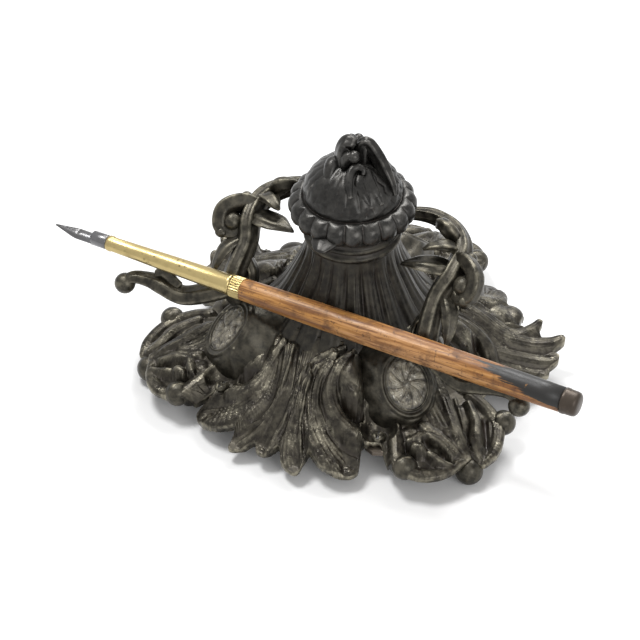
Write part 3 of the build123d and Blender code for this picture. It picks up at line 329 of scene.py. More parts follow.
SPELTER = cast_finish(
    "dark_spelter", (0.022, 0.019, 0.015), (0.075, 0.067, 0.05), (0.5, 0.46, 0.35), (0.02, 0.014, 0.009),
    metallic=0.75, rough=(0.26, 0.5), relief=True, wear_and_glints=1.0,
)
ARM_METAL = cast_finish(
    "arm_spelter", (0.024, 0.022, 0.017), (0.078, 0.07, 0.053), (0.42, 0.385, 0.29),
    (0.02, 0.014, 0.009),
    metallic=0.75, rough=(0.26, 0.5), wear_and_glints=1.0,
)
CONE_METAL = cast_finish(
    "cone_spelter", (0.017, 0.0155, 0.013), (0.05, 0.045, 0.035), (0.26, 0.24, 0.18),
    (0.018, 0.013, 0.009),
    metallic=0.7, rough=(0.3, 0.55), wear_and_glints=0.8, grime=0.9,
)
LID_METAL = cast_finish(
    "dark_lid_metal", (0.019, 0.0182, 0.0168), (0.043, 0.041, 0.0375), (0.32, 0.305, 0.28),
    (0.024, 0.015, 0.01),
    metallic=0.7, rough=(0.24, 0.42), wear_and_glints=0.8, grime=0.8, grain=700.0, strength=0.14,
)
PLAQUE_METAL = cast_finish(
    "worn_silver", (0.035, 0.03, 0.022), (0.34, 0.31, 0.24), (0.9, 0.87, 0.76), (0.014, 0.011, 0.008),
    metallic=0.25, rough=(0.32, 0.5), relief=True, wear_and_glints=1.0, grime=1.0, strength=0.4,
)
PEN_BRASS = bare_metal(
    "pen_brass", (0.46, 0.365, 0.17), (0.27, 0.205, 0.095), (0.06, 0.045, 0.022),
    rough=(0.28, 0.5), amount=0.9,
)
CAP_METAL = bare_metal(
    "cap_bronze", (0.06, 0.046, 0.034), (0.028, 0.021, 0.016), (0.16, 0.11, 0.06),
    metallic=0.6, rough=(0.32, 0.55), amount=0.6, size=380.0,
)
MOVEMENT_BRASS = bare_metal(
    "movement_brass", (0.62, 0.46, 0.2), (0.4, 0.27, 0.11), (0.1, 0.065, 0.03),
    rough=(0.2, 0.38), amount=0.5,
)
STEEL = bare_metal(
    "steel", (0.42, 0.42, 0.43), (0.24, 0.235, 0.23), (0.08, 0.06, 0.05),
    rough=(0.2, 0.4), amount=0.5,
)
BROWN_STEEL = bare_metal(
    "brown_steel", (0.16, 0.135, 0.11), (0.085, 0.055, 0.035), (0.05, 0.022, 0.01),
    metallic=0.7, rough=(0.4, 0.65), amount=0.9, size=300.0,
)
NIB_STEEL = bare_metal(
    "nib_steel", (0.16, 0.16, 0.165), (0.07, 0.066, 0.06), (0.02, 0.017, 0.014),
    rough=(0.24, 0.42), amount=0.7,
)
WOOD = wood_finish()
GLASS = glass_finish()
BY_SLOT = {
    "dark_spelter": ARM_METAL, "dark_lid_metal": LID_METAL, "worn_silver": PLAQUE_METAL, "steel": STEEL,
    "liner_glass": GLASS, "brown_steel": BROWN_STEEL, "movement_brass": MOVEMENT_BRASS,
    "nib_steel": NIB_STEEL, "pen_brass": PEN_BRASS, "varnished_wood": WOOD,
}
for part in frame["record"]["subparts"]:
    mesh = frame["nodes"][part["node"]].data
    mesh.materials.clear()
    mesh.materials.append(BY_SLOT[part["material_slot"]])


# Shaping tools


def finished(bm, name, finish, body, nodes=(), levels=0, wall=0.0):
    """Turns a shape in millimetres into a finished piece in metres that rides on its body."""
    bmesh.ops.recalc_face_normals(bm, faces=bm.faces)
    bmesh.ops.scale(bm, vec=(0.001, 0.001, 0.001), verts=bm.verts)
    mesh = bpy.data.meshes.new(name)
    bm.to_mesh(mesh)
    bm.free()
    mesh.polygons.foreach_set("use_smooth", [True] * len(mesh.polygons))
    mesh.materials.append(finish)
    piece = bpy.data.objects.new(name, mesh)
    bpy.context.scene.collection.objects.link(piece)
    if wall:
        solid = piece.modifiers.new("wall", "SOLIDIFY")
        solid.thickness = wall * 0.001
        solid.offset = -1
    if levels:
        smooth = piece.modifiers.new("smooth", "SUBSURF")
        smooth.levels = smooth.render_levels = levels
    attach(piece, body)
    if nodes:
        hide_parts(*nodes)
    return piece


def smooth_line(stations, count):
    """Points at even steps along a smooth curve through stations of any size."""
    known = np.array(stations, float)
    padded = np.vstack([2 * known[0] - known[1], known, 2 * known[-1] - known[-2]])
    made = []
    for place in np.linspace(0, len(known) - 1, count):
        here = min(int(place), len(known) - 2)
        t = place - here
        a, b, c, d = padded[here:here + 4]
        square, cube = (2 * a - 5 * b + 4 * c - d) * t**2, (3 * b - a - 3 * c + d) * t**3
        made.append(0.5 * (2 * b + (c - a) * t + square + cube))
    return np.array(made)


def lathe(stations, turns=96):
    """Spins a profile of radius and height about the Z axis."""
    bm = bmesh.new()
    chain = [bm.verts.new((radius, 0, height)) for radius, height in stations]
    edges = [bm.edges.new(pair) for pair in zip(chain, chain[1:])]
    bmesh.ops.spin(
        bm, geom=chain + edges, cent=(0, 0, 0), axis=(0, 0, 1), angle=2 * pi, steps=turns, use_merge=True,
    )
    bmesh.ops.remove_doubles(bm, verts=bm.verts, dist=0.0005)
    return bm


def join(target, other):
    """Adds a second shape to the first."""
    carrier = bpy.data.meshes.new("carrier")
    other.to_mesh(carrier)
    other.free()
    target.from_mesh(carrier)
    bpy.data.meshes.remove(carrier)
    return target


def bead(centre, radius, detail=24):
    """A round bead."""
    bm = bmesh.new()
    bmesh.ops.create_uvsphere(bm, u_segments=detail, v_segments=detail // 2, radius=radius)
    bmesh.ops.translate(bm, vec=centre, verts=bm.verts)
    return bm


def limb(stations, up=(0, 0, 1), rings=24, sides=20, ridges=0, groove=0.12, mirror=1):
    """A cast stem through stations of x, y, z, width and depth, with lengthwise ridges and closed ends."""
    line = smooth_line(stations, rings)
    bm = bmesh.new()
    upward = Vector(up)
    loops = []
    for number, row in enumerate(line):
        before, after = line[max(number - 1, 0)], line[min(number + 1, rings - 1)]
        along = Vector(after[:3] - before[:3]).normalized()
        side = along.cross(upward).normalized()
        upward = side.cross(along).normalized()
        turn = Matrix((side, upward, along)).transposed().to_4x4()
        turn.translation = Vector(row[:3])
        ring = bmesh.ops.create_circle(bm, segments=sides, radius=1)["verts"]
        for v in ring:
            swell = 1 - groove * (0.5 - 0.5 * cos(ridges * np.arctan2(v.co.y, v.co.x))) if ridges else 1
            v.co.x *= row[3] / 2 * swell
            v.co.y *= row[4] / 2 * swell
        bmesh.ops.transform(bm, matrix=turn, verts=ring)
        loops.append(list({e for v in ring for e in v.link_edges}))
    for near, far in zip(loops, loops[1:]):
        bmesh.ops.bridge_loops(bm, edges=near + far)
    first, last = (loops[0], line[0], line[0] - line[1]), (loops[-1], line[-1], line[-1] - line[-2])
    for loop, row, step in (first, last):
        lid_face = bmesh.ops.edgeloop_fill(bm, edges=loop)["faces"]
        peak = bmesh.ops.poke(bm, faces=lid_face)["verts"]
        outward = Vector(step[:3]).normalized()
        bmesh.ops.translate(bm, vec=outward * min(row[3], row[4]) * 0.28, verts=peak)
    if mirror < 0:
        bmesh.ops.scale(bm, vec=(-1, 1, 1), verts=bm.verts)
    return bm


# Skirt: leaves and feet, pressed as lobes into a round sheet


class Sheet:
    """Points of a sheet seen from above, with the height and the relief of each."""

    def __init__(self, x, y, height):
        self.place = np.column_stack([x, y])
        self.height = height.copy()
        self.relief = np.full(len(x), 0.35)
        self.inside = np.zeros(len(x), bool)

    def measure(self, stations):
        """Finds the points near a line of x, y, height and half-width, and each one's place by it."""
        line = smooth_line(stations, 8 * (len(stations) - 1) + 1)
        low = line[:, :2].min(0) - line[:, 3].max()
        high = line[:, :2].max(0) + line[:, 3].max()
        near = np.where(np.all((self.place > low) & (self.place < high), axis=1))[0]
        here = self.place[near]
        ratio, level, beside, travelled = np.full(len(near), 9.0), *np.zeros((3, len(near)))
        length = 0.0
        for a, b in zip(line, line[1:]):
            step = b[:2] - a[:2]
            size = float(np.hypot(*step)) + 1e-9
            share = np.clip((here - a[:2]) @ step / size**2, 0, 1)
            away = here - a[:2] - share[:, None] * step
            gap = np.hypot(away[:, 0], away[:, 1])
            reached = gap / (a[3] + share * (b[3] - a[3]))
            closer = reached < ratio
            ratio = np.where(closer, reached, ratio)
            level = np.where(closer, a[2] + share * (b[2] - a[2]), level)
            hand = np.sign(step[0] * away[:, 1] - step[1] * away[:, 0])
            beside = np.where(closer, hand * gap, beside)
            travelled = np.where(closer, length + share * size, travelled)
            length += size
        return near, ratio, level, beside, travelled, length

    def press(self, stations, crown, veins=0.0, pitch=1.4, rings=0.0):
        """Raises a lobe along the stations, its sides rounded down by the crown, with veins or rings."""
        near, ratio, level, beside, travelled, length = self.measure(stations)
        covered = ratio < 1
        round_off = np.sqrt(np.clip(1 - ratio**2, 0, 1))
        fade = np.clip(1.6 * (1 - ratio**2), 0, 1)
        ripple = veins * np.cos(2 * pi * beside / pitch) * fade
        outer_half = np.clip((travelled / length - 0.5) / 0.3, 0, 1)
        ripple += rings * np.cos(2 * pi * travelled / pitch) * fade * outer_half
        top = level - crown * (1 - round_off) + ripple
        wins = covered & (top > self.height[near])
        chosen = near[wins]
        self.height[chosen] = top[wins]
        self.relief[chosen] = np.clip(0.2 + 0.72 * round_off[wins] + ripple[wins], 0, 1)
        self.inside[near[covered]] = True

    def draw(self, stations, lift):
        """Adds a raised line to what is there, or with a negative lift a groove."""
        near, ratio, *_ = self.measure(stations)
        amount = np.clip(1 - ratio**2, 0, 1) ** 1.5 * (ratio < 1)
        self.height[near] += lift * amount
        self.relief[near] = np.clip(self.relief[near] + 0.5 * lift * amount, 0, 1)


def spun(stations, bearing, mirror=1):
    """Turns stations of radius, angle, height and half-width into places around the object."""
    return [
        (*polar(radius, bearing + mirror * angle)[:2], height, half)
        for radius, angle, height, half in stations
    ]


# About half of the leaves' and feet's stations were read off the photograph through the camera below, and
# rounded. The other stations, and the heights and widths, were set one by one.
# Lobes: stations of radius, angle, height and half-width; then crown, vein height, pitch and ring height
LEAF_LOBES = [
    ([
        (29, 35, 31, 2.4), (35.1, 35.1, 26.2, 3.2), (41.2, 33.5, 20.6, 3.2), (46.2, 33.5, 16, 2.8),
    ], 2.4, 0.1, 1.4, 0),
    ([
        (29, -36, 30.6, 2.4), (34.4, -34.0, 26.2, 3.0), (38.1, -29.5, 23.4, 3.2),
        (41.3, -29.5, 20.6, 2.6),
    ], 2.2, 0.1, 1.4, 0),
    ([
        (30.5, -14.3, 29.6, 2.8), (38.0, -7.0, 24.0, 3.6), (45.7, -3.7, 17.9, 4.2),
        (52.7, -3.8, 11.9, 4.6), (57.2, -4.6, 7.6, 3.2),
    ], 1.8, 0.14, 1.35, 0),
    ([
        (42.0, -6.6, 20.4, 1.7), (48.6, -7.1, 15.4, 2.2), (54.8, -9.9, 10.6, 2.4),
        (59.0, -13.0, 6.9, 2.5), (61.3, -14.4, 5.0, 1.9),
    ], 2.2, 0.1, 1.3, 0),
    ([
        (30.0, -27.2, 29.6, 1.8), (34.7, -21.8, 26.5, 2.9), (41.0, -17.0, 22.0, 4.1),
        (47.4, -17.3, 17.2, 5.2), (52.4, -20.8, 13.2, 6.1), (56.0, -26.2, 9.6, 6.0),
        (57.6, -30.2, 7.0, 4.6),
    ], 3.0, 0.04, 1.5, 0.16),
    ([
        (34.9, 0.4, 26.5, 2.3), (43.3, 2.9, 20.0, 3.3), (51.1, 4.2, 13.7, 4.2), (57.0, 5.5, 8.5, 4.2),
        (60.4, 7.4, 5.3, 2.6),
    ], 2.2, 0.14, 1.35, 0),
    ([
        (29.3, 13.8, 30.9, 1.8), (35.8, 9.6, 26.0, 2.9), (43.9, 10.4, 19.9, 4.4),
        (50.7, 14.4, 14.8, 5.8), (55.2, 19.5, 10.5, 6.6), (57.6, 23.6, 7.3, 4.6),
    ], 3.0, 0.15, 1.5, 0.12),
    ([
        (30.7, -21.7, 30.2, 1.4), (36.5, -20.8, 26.4, 2.0), (42.9, -19.5, 22.2, 2.6),
        (47.5, -22.6, 18.8, 2.9), (49.6, -28.4, 16.6, 2.4),
    ], 2.8, 0.1, 1.3, 0.1),
    ([
        (29.0, 26.0, 32.4, 1.5), (33.8, 17.7, 29.6, 2.5), (40.7, 15.8, 25.0, 3.2),
        (46.4, 19.5, 20.8, 3.3), (49.5, 25.0, 17.4, 2.9), (50.3, 28.4, 15.8, 2.0),
    ], 3.4, 0.12, 1.4, 0.0),
    ([
        (31.0, 27.0, 31.6, 2.4), (35.6, 24.6, 30.6, 3.9), (39.4, 25.0, 28.2, 4.1),
        (42.0, 26.8, 25.2, 2.8),
    ], 5.0, 0, 1, 0),
]
SPRAY_TIPS = [
    ([(50, 12, 14.5, 5.0), (53, 12.5, 13.4, 6.4), (56, 12.5, 11.6, 5.6)], 3.4, 0, 1, 0),
    ([
        (38.5, -25.3, 20, 2.6), (48.0, -20.1, 15.4, 3.2), (57.9, -17.3, 10.8, 3.4),
        (65.4, -15.4, 8.6, 2.8),
    ], 2.4, 0.12, 1.3, 0),
    ([
        (40.4, -16.6, 20.5, 2.6), (50.5, -14.5, 15.6, 3.4), (58.9, -12.6, 12.4, 3.6),
        (65.6, -11.7, 11.0, 3.0), (68.6, -10.9, 11.0, 2.2),
    ], 2.4, 0.12, 1.3, 0),
    ([
        (34.1, 4.6, 27, 2.6), (43.1, -2.7, 22.2, 3.4), (51.6, -6.9, 17.2, 3.8), (60.2, -6.6, 14.0, 3.8),
        (66.4, -6.0, 13.6, 3.2), (70.6, -5.6, 15.0, 2.2),
    ], 2.8, 0.16, 1.3, 0),
    ([
        (45.1, 0.1, 21, 2.4), (51.7, -4.0, 17.0, 2.8), (56.8, -3.4, 15.2, 2.8), (61.4, -1.2, 15.6, 2.4),
        (63.6, -0.1, 16.8, 1.8),
    ], 2.2, 0.12, 1.3, 0),
]
FOOT_LOBES = [
    ([(52.8, -12.6, 15.2, 3.0), (59.2, -10.5, 13.4, 3.6), (63.0, -8.0, 11.9, 3.4)], 1.6, 0, 1, 0),
    ([(53.0, 9, 15.2, 3.4), (60, 7.5, 13.0, 3.6), (66.0, 5.0, 11.0, 2.8)], 1.6, 0, 1, 0),
    ([
        (33, 1, 26.0, 6.0), (42, 1.0, 22.4, 7.0), (50, 0.0, 17.6, 6.0), (56, -1.0, 15.6, 4.2),
    ], 2.6, 0.16, 1.5, 0),
    ([
        (53.0, -7.3, 16.4, 2.3), (59.1, -4.6, 15.0, 2.7), (63.9, -2.7, 13.0, 2.7),
        (67.8, -1.4, 10.6, 2.3),
    ], 2.2, 0.12, 1.3, 0),
    ([
        (48.6, 5.7, 19.2, 1.9), (55.0, 2.8, 17.2, 2.3), (62.5, 0.3, 14.4, 2.3), (67.8, -0.3, 11.0, 2.0),
    ], 2.2, 0.12, 1.3, 0),
    ([
        (52.9, 12.5, 16.6, 1.8), (59.6, 8.9, 15.2, 2.1), (64.6, 4.6, 13.4, 2.1), (69.0, 2.8, 10.7, 1.7),
    ], 2.2, 0.1, 1.3, 0),
    ([
        (50, 17.0, 16.6, 2.6), (56, 17.2, 14.8, 2.6), (62, 16.0, 12.4, 2.6), (66.4, 12.4, 11.0, 2.6),
        (70.0, 7.6, 9.6, 2.2), (71.4, 3.0, 8.4, 1.7),
    ], 2.4, 0.1, 1.3, 0.1),
    ([
        (68.2, -2.6, 10.8, 1.9), (69.4, -8.0, 10.4, 2.5), (68.6, -13.2, 10.6, 2.8),
        (66.0, -17.2, 11.2, 2.5),
    ], 2.4, 0.1, 1.3, 0.12),
    ([
        (50, -17.6, 16.6, 2.4), (56, -18.6, 14.9, 2.6), (61, -19.6, 13.4, 2.8), (64.6, -19.4, 11.8, 2.6),
    ], 2.4, 0.1, 1.3, 0.1),
    ([
        (57.0, -14.6, 15.6, 1.4), (56.9, -9.3, 16.2, 1.5), (60.9, -5.6, 15.4, 1.5),
        (65.6, -4.4, 13.2, 1.4),
    ], 1.6, 0, 1, 0),
    ([(60.2, -13.6, 16.0, 1.9), (61.2, -12.4, 16.0, 1.9)], 2.4, 0, 1, 0),
    ([(63.1, -9.9, 13.8, 1.4), (66.2, -8.6, 12.8, 1.4), (68.6, -6.0, 11.2, 1.3)], 1.6, 0, 1, 0),
]
# Lines: stations of radius, angle and half-width; then lift
LEAF_LINES = [
    ([
        (27.3, 20.5, 1.1), (30.9, 4.3, 1.1), (37.3, -0.6, 1.1), (43.4, -0.9, 1.1), (50.3, -1.1, 1.1),
        (58.6, -3.0, 0.9),
    ], 1.6),
    ([
        (29.5, 16.0, 0.7), (33.0, 5.3, 0.7), (39.3, 1.8, 0.7), (45.4, 1.4, 0.7), (52.3, 1.2, 0.7),
        (58.6, 0.2, 0.6),
    ], 0.9),
    ([(36.6, 4.0, 0.9), (43.8, 4.5, 1.0), (51.8, 6.4, 1.0), (60.1, 9.9, 0.9)], 1.4),
    ([(30.9, -12.8, 0.9), (41.4, -7.7, 1.0), (50.6, -9.8, 1.0), (57.7, -16.7, 0.9)], 1.2),
    ([(30.3, 24.5, 0.6), (33.6, 12.6, 0.7), (39.8, 9.6, 0.8), (46.0, 12.6, 0.8), (52.0, 20.5, 0.7)], 0.7),
    ([(44.2, -30.8, 2.4), (42.8, -27.0, 3.0), (41.4, -23.6, 2.0)], -5.0),
    ([(43.0, 21.8, 1.8), (44.4, 25.6, 2.3), (44.6, 29.0, 1.8)], -4.6),
    ([(50.3, 16.5, 1.0), (53.3, 23.0, 1.2), (55.3, 28.0, 1.0)], -0.6),
]
FOOT_LINES = [
    ([(55.2, -15.7, 0.7), (56.4, -6.9, 0.7), (62.9, -3.2, 0.7), (67.4, -1.9, 0.6)], 0.6),
    ([(46.0, 5.3, 0.7), (56.3, 1.1, 0.7), (66.3, -1.0, 0.6)], 0.6),
    ([(48.6, 10.6, 0.7), (58.3, 4.9, 0.7), (67.1, 0.6, 0.6)], 0.6),
    ([(58.6, -9.4, 1.6), (62.0, -9.0, 1.8), (64.6, -6.4, 1.3)], -1.9),
    ([(66.4, -6.6, 1.0), (68.2, -5.0, 0.9)], -1.4),
    ([(60.0, 13.0, 1.4), (64.0, 9.6, 1.3), (67.4, 6.6, 1.1)], -1.6),
]
# Three lines of radius and angle that the fine ridges run between
LEAF_FLOW = (
    [(30.8, -29.4), (37.7, -19.7), (45.6, -18.4), (51.5, -23.1), (58.5, -32.2)],
    [(30.5, -15.1), (37.9, -8.3), (45.6, -4.7), (52.4, -4.4), (58.4, -4.8)],
    [(28.9, 13.6), (34.8, 8.5), (42.6, 9.5), (50.4, 15.5), (60.0, 25.0)],
)
CONE_PROFILE = [
    (15, 57), (19.2, 45), (24.5, 35), (32, 26.2), (40, 18.4), (46, 12.2), (52, 10.9), (54, 9.6),
    (60, 6.0), (76, 3.0),
]
FOOT_PROFILE = [
    (33, 26), (38, 22.6), (46, 18), (54, 15.2), (60, 13.4), (67, 10.6), (76, 8.6),
]
SKIRT_INNER = 25.5
LEAF_FALL = 0.8


def leaf_level(radius):
    """Height of a leaf's middle surface at a radius."""
    return 28.6 - LEAF_FALL * (radius - 31)


def ground_level(x, y):
    """Height of the plain casting: the cone, fans under the leaves, and tongues over the feet."""
    radius, bearing = np.hypot(x, y), np.degrees(np.arctan2(y, x))
    cone = np.interp(radius, *zip(*CONE_PROFILE))
    foot = np.interp(radius, *zip(*FOOT_PROFILE)) - 1.6
    height = cone.copy()
    leaf = leaf_level(radius) - 0.5
    fans = [(b, 38, leaf) for b in LEAF_BEARINGS] + [(b, 20, foot) for b in FOOT_BEARINGS]
    for middle, half, level in fans:
        off = np.abs((bearing - middle + 180) % 360 - 180)
        height = np.maximum(height, cone + np.clip((half - off) / 6, 0, 1) * (level - cone))
    for middle, side in zip(LEAF_BEARINGS[1:], (1, -1)):
        off = ((bearing - middle + 180) % 360 - 180) * side
        level = np.interp(radius, (50, 58, 66, 72), (13.4, 9.4, 7.8, 8.8))
        level += np.clip((off + 18) / 12, 0, 1) * np.interp(radius, (50, 60, 70), (0.5, 2.5, 4.5))
        height = np.maximum(height, cone + np.clip((15 - np.abs(off + 9)) / 4, 0, 1) * (level - cone))
    neck = np.clip((radius - SKIRT_INNER) / 8, 0, 1)
    return height * neck + (cone - 1.4) * (1 - neck)


def flow_lines(count=19):
    """Fine ridges that sweep from the neck to the leaf's edge, spread between three lines."""
    left, middle, right = (np.array(line) for line in LEAF_FLOW)
    for number in range(count):
        t = number / (count - 1) * 2 - 1
        line = middle + t * (right - left) / 2 + t * t * ((right + left) / 2 - middle)
        yield [(radius, angle, 0.5) for radius, angle in line], 0.26 + 0.2 * (number % 4 == 0)


def press_all(sheet):
    """Presses every leaf and foot into the sheet, and clears the screws' seats."""
    leaf_lines = LEAF_LINES + list(flow_lines())
    for bearings, lobes, lines in (
        (FOOT_BEARINGS, FOOT_LOBES, FOOT_LINES), (LEAF_BEARINGS, LEAF_LOBES, leaf_lines),
    ):
        for bearing, side in zip(bearings, (1, -1, 1)):
            for stations, *shape in lobes:
                sheet.press(spun(stations, bearing, side), *shape)
            for stations, lift in lines:
                level_line = [(radius, angle, 0, half) for radius, angle, half in stations]
                sheet.draw(spun(level_line, bearing, side), lift)
    for bearing, side in zip(LEAF_BEARINGS[1:], (1, -1)):
        for stations, *shape in SPRAY_TIPS:
            sheet.press(spun(stations, bearing, side), *shape)
    for radius, bearing in SCREW_PLACES:
        x, y, _ = polar(radius, bearing)
        gap = np.hypot(sheet.place[:, 0] - x, sheet.place[:, 1] - y)
        sheet.height = np.minimum(sheet.height, WEB_TOP - 0.1 + np.clip(gap - 3.3, 0, 12) ** 1.4)


TURNS, STEPS = 900, 94
TURN_BEARINGS = np.linspace(-180, 180, TURNS + 1)
FURTHEST_REACH, REACH_STEP = 73.8, 0.3
WALL = 1.6
LOWEST_TOP, LOWEST_UNDERSIDE = 2.8, 0.9
UNDERSIDE_STEPS = (STEPS, STEPS - 3, STEPS - 6, STEPS - 10, 74, 60, 44, 28, 12, 2)


def skirt_edge():
    """How far out the leaves and feet reach at each bearing, smoothed."""
    reach = np.arange(WEB_RADIUS - 0.5, FURTHEST_REACH, REACH_STEP)
    bearing, distance = np.meshgrid(np.radians(TURN_BEARINGS), reach, indexing="ij")
    x, y = (distance * np.cos(bearing)).ravel(), (distance * np.sin(bearing)).ravel()
    probe = Sheet(x, y, np.full(distance.size, -9.0))
    press_all(probe)
    covered = probe.inside.reshape(distance.shape)
    edge = np.array([reach[np.where(row)[0][-1]] if row.any() else WEB_RADIUS for row in covered])
    edge = np.maximum(edge, WEB_RADIUS)[:-1]
    for _ in range(3):
        edge = (np.roll(edge, 1) + 2 * edge + np.roll(edge, -1)) / 4
    return np.append(edge, edge[0])


def lay_top(bm, edge):
    """Lays the skirt's top around the neck as one pressed sheet, and returns its heights."""
    bmesh.ops.create_grid(bm, x_segments=TURNS, y_segments=STEPS, size=1)
    flat = np.array([vert.co for vert in bm.verts])
    turn_number = np.rint((flat[:, 0] + 1) / 2 * TURNS).astype(int)
    step_number = np.rint((flat[:, 1] + 1) / 2 * STEPS).astype(int)
    radius = SKIRT_INNER + (edge[turn_number] - 0.3 - SKIRT_INNER) * step_number / STEPS
    turn = np.radians(TURN_BEARINGS[turn_number])
    x, y = radius * np.cos(turn), radius * np.sin(turn)
    skirt = Sheet(x, y, ground_level(x, y))
    press_all(skirt)
    skirt.height = np.maximum(skirt.height, LOWEST_TOP)
    heights = np.zeros((TURNS + 1, STEPS + 1))
    heights[turn_number, step_number] = skirt.height
    layer = bm.verts.layers.float.new("relief")
    for vert, place, height, value in zip(bm.verts, skirt.place, skirt.height, skirt.relief):
        vert.co = (*place, height)
        vert[layer] = value
    bmesh.ops.remove_doubles(bm, verts=bm.verts, dist=0.001)
    return heights


def close_underside(bm, edge, heights):
    """Closes the skirt below, a wall's thickness under the lowest points near each place."""
    layer = bm.verts.layers.float["relief"]
    lowest = heights.copy()
    for shift in range(-7, 8):
        rolled = np.roll(heights[:-1], shift, axis=0)
        for slide in range(-4, 5):
            moved = np.clip(np.arange(STEPS + 1) + slide, 0, STEPS)
            lowest[:-1] = np.minimum(lowest[:-1], rolled[:, moved])
    ring = [e for e in bm.edges if e.is_boundary and hypot(*e.verts[0].co[:2]) > 45]
    for step in UNDERSIDE_STEPS:
        made = bmesh.ops.extrude_edge_only(bm, edges=ring)["geom"]
        ring = [part for part in made if isinstance(part, bmesh.types.BMEdge) and part.is_boundary]
        for vert in {v for e in ring for v in e.verts}:
            bearing = np.degrees(np.arctan2(vert.co.y, vert.co.x))
            number = int(round((bearing + 180) / 360 * TURNS)) % TURNS
            outer = SKIRT_INNER + (edge[number] - 0.5 - SKIRT_INNER) * step / STEPS
            ceiling = lowest[number, step]
            if step >= STEPS - 8:
                ceiling = max(ceiling, heights[number, step] - 1.2)
            vert.co = polar(outer, TURN_BEARINGS[number], max(ceiling - WALL, LOWEST_UNDERSIDE))
            vert[layer] = 0.3
    last_ring = set(ring)
    inner = [e for e in bm.edges if e.is_boundary and e not in last_ring]
    bmesh.ops.bridge_loops(bm, edges=ring + inner)


def leaf_skirt():
    """Leaves and feet as one hollow casting."""
    bm = bmesh.new()
    edge = skirt_edge()
    heights = lay_top(bm, edge)
    close_underside(bm, edge, heights)
    finished(bm, "leaf_skirt", SPELTER, "base", nodes=["base_casting"])


leaf_skirt()

# Cone and neck, with a bead and a fillet under the lid, as radius and height
NECK_PROFILE = [
    (12.6, 62.0), (12.6, NECK_TOP), (15.6, NECK_TOP), (16.0, 65.2), (15.8, 64.4), (15.1, 64.0),
    (15.0, 62.6), (15.5, 62.0), (16.2, 61.4), (15.5, 60.8), (14.9, 60.2), (14.9, 59.3), (15.9, 58.9),
    (16.2, 58.1), (15.8, 57.3), (15.1, 56.9),
]
CONE_LINE = [(15.1, 56.4), (16.6, 51), (19.2, 45), (24.5, 35), (32, 26.2), (37, 21)]
FLUTE_TOP, FLUTE_DEPTH = 56.8, 1.4


def fluted_cone():
    """Neck and cone, with twenty broad flutes and fine lines in them."""
    bm = lathe(NECK_PROFILE + [tuple(p) for p in smooth_line(CONE_LINE, 44)], turns=288)
    for vert in bm.verts:
        if vert.co.z < FLUTE_TOP:
            radius, angle = hypot(vert.co.x, vert.co.y), np.arctan2(vert.co.y, vert.co.x)
            wave = abs(sin(10 * angle))
            fine = 0.16 * cos(60 * angle) + 0.10 * cos(97 * angle + 1.3)
            depth = min(1, (FLUTE_TOP - vert.co.z) / 7)
            shrink = 1 - depth * (FLUTE_DEPTH * (1 - wave**0.7) + fine) / radius
            vert.co.x *= shrink
            vert.co.y *= shrink
    finished(bm, "fluted_cone", CONE_METAL, "base")


def ball_feet():
    """The feet's balls and the beads at their sides."""
    bm = bmesh.new()
    for bearing in FOOT_BEARINGS:
        join(bm, bead(polar(68.9, bearing, 4.6), 4.6, detail=40))
        for side in (-18, 18):
            join(bm, bead(polar(63.5, bearing + side, 9.6), 4.2, detail=36))
    finished(bm, "ball_feet", ARM_METAL, "base")


# Screw heads: radius, and height above the casting's web
HEAD_PROFILE = [(2.3, -0.1), (2.4, 0.5), (2.2, 1.2), (1.6, 1.65), (0.8, 1.85), (0.0, 1.9)]
SLOT_HALF, SLOT_FLOOR = 0.34, 1.0


def slotted_heads():
    """Slotted heads of the casting's screws, domed over the plain ones."""
    bm = bmesh.new()
    for radius, bearing in SCREW_PLACES:
        head = lathe([(size, WEB_TOP + height) for size, height in HEAD_PROFILE], turns=48)
        for vert in head.verts:
            across = vert.co.x * cos(radians(bearing * 3)) + vert.co.y * sin(radians(bearing * 3))
            if abs(across) < SLOT_HALF and vert.co.z > WEB_TOP + 0.9:
                vert.co.z = WEB_TOP + SLOT_FLOOR
        bmesh.ops.translate(head, vec=polar(radius, bearing), verts=head.verts)
        join(bm, head)
    finished(bm, "slotted_heads", ARM_METAL, "base")


fluted_cone()
ball_feet()
slotted_heads()

# Medallions
# Frame: share of the oval's half-width, and height above it
FRAME_RINGS = [
    (0.78, -0.6), (0.8, 0.3), (0.83, 0.52), (0.86, 0.3), (0.885, 0.0), (0.92, 0.0), (0.97, 0.3),
    (1.02, 0.34), (1.06, 0.05), (1.09, -0.5), (1.12, -0.8), (1.17, -0.9), (1.24, -1.6), (1.36, -3.4),
    (1.52, -6.2), (1.72, -9.4), (1.9, -13),
]
PLAQUE_EDGE = 0.80


def medallion_place(bearing):
    """The medallion's own axes and centre as a matrix."""
    normal = polar(cos(radians(MEDALLION_TILT)), bearing, sin(radians(MEDALLION_TILT)))
    across = polar(1, bearing + 90)
    place = Matrix((across, normal.cross(across), normal)).transposed().to_4x4()
    place.translation = polar(MEDALLION_DISTANCE, bearing, MEDALLION_HEIGHT)
    return place


def oval_scale(bm):
    """Squeezes a round shape of radius 1 into the medallion's oval, keeping heights."""
    bmesh.ops.scale(bm, vec=(MEDALLION_WIDTH / 2, MEDALLION_LENGTH / 2, 1), verts=bm.verts)


def medallion_frame(name, place):
    """Raised oval rim with a leafy flank that sinks into the skirt."""
    bm = lathe(FRAME_RINGS, turns=96)
    oval_scale(bm)
    for vert in bm.verts:
        outer = hypot(vert.co.x / MEDALLION_WIDTH, vert.co.y / MEDALLION_LENGTH) * 2
        flow = np.arctan2(vert.co.y, vert.co.x)
        vert.co.z += 0.9 * np.clip((outer - 1.1) / 0.25, 0, 1) * cos(9 * flow + 7 * outer)
    bmesh.ops.transform(bm, matrix=place, verts=bm.verts)
    finished(bm, f"{name}_medallion_frame", ARM_METAL, "base", levels=1)


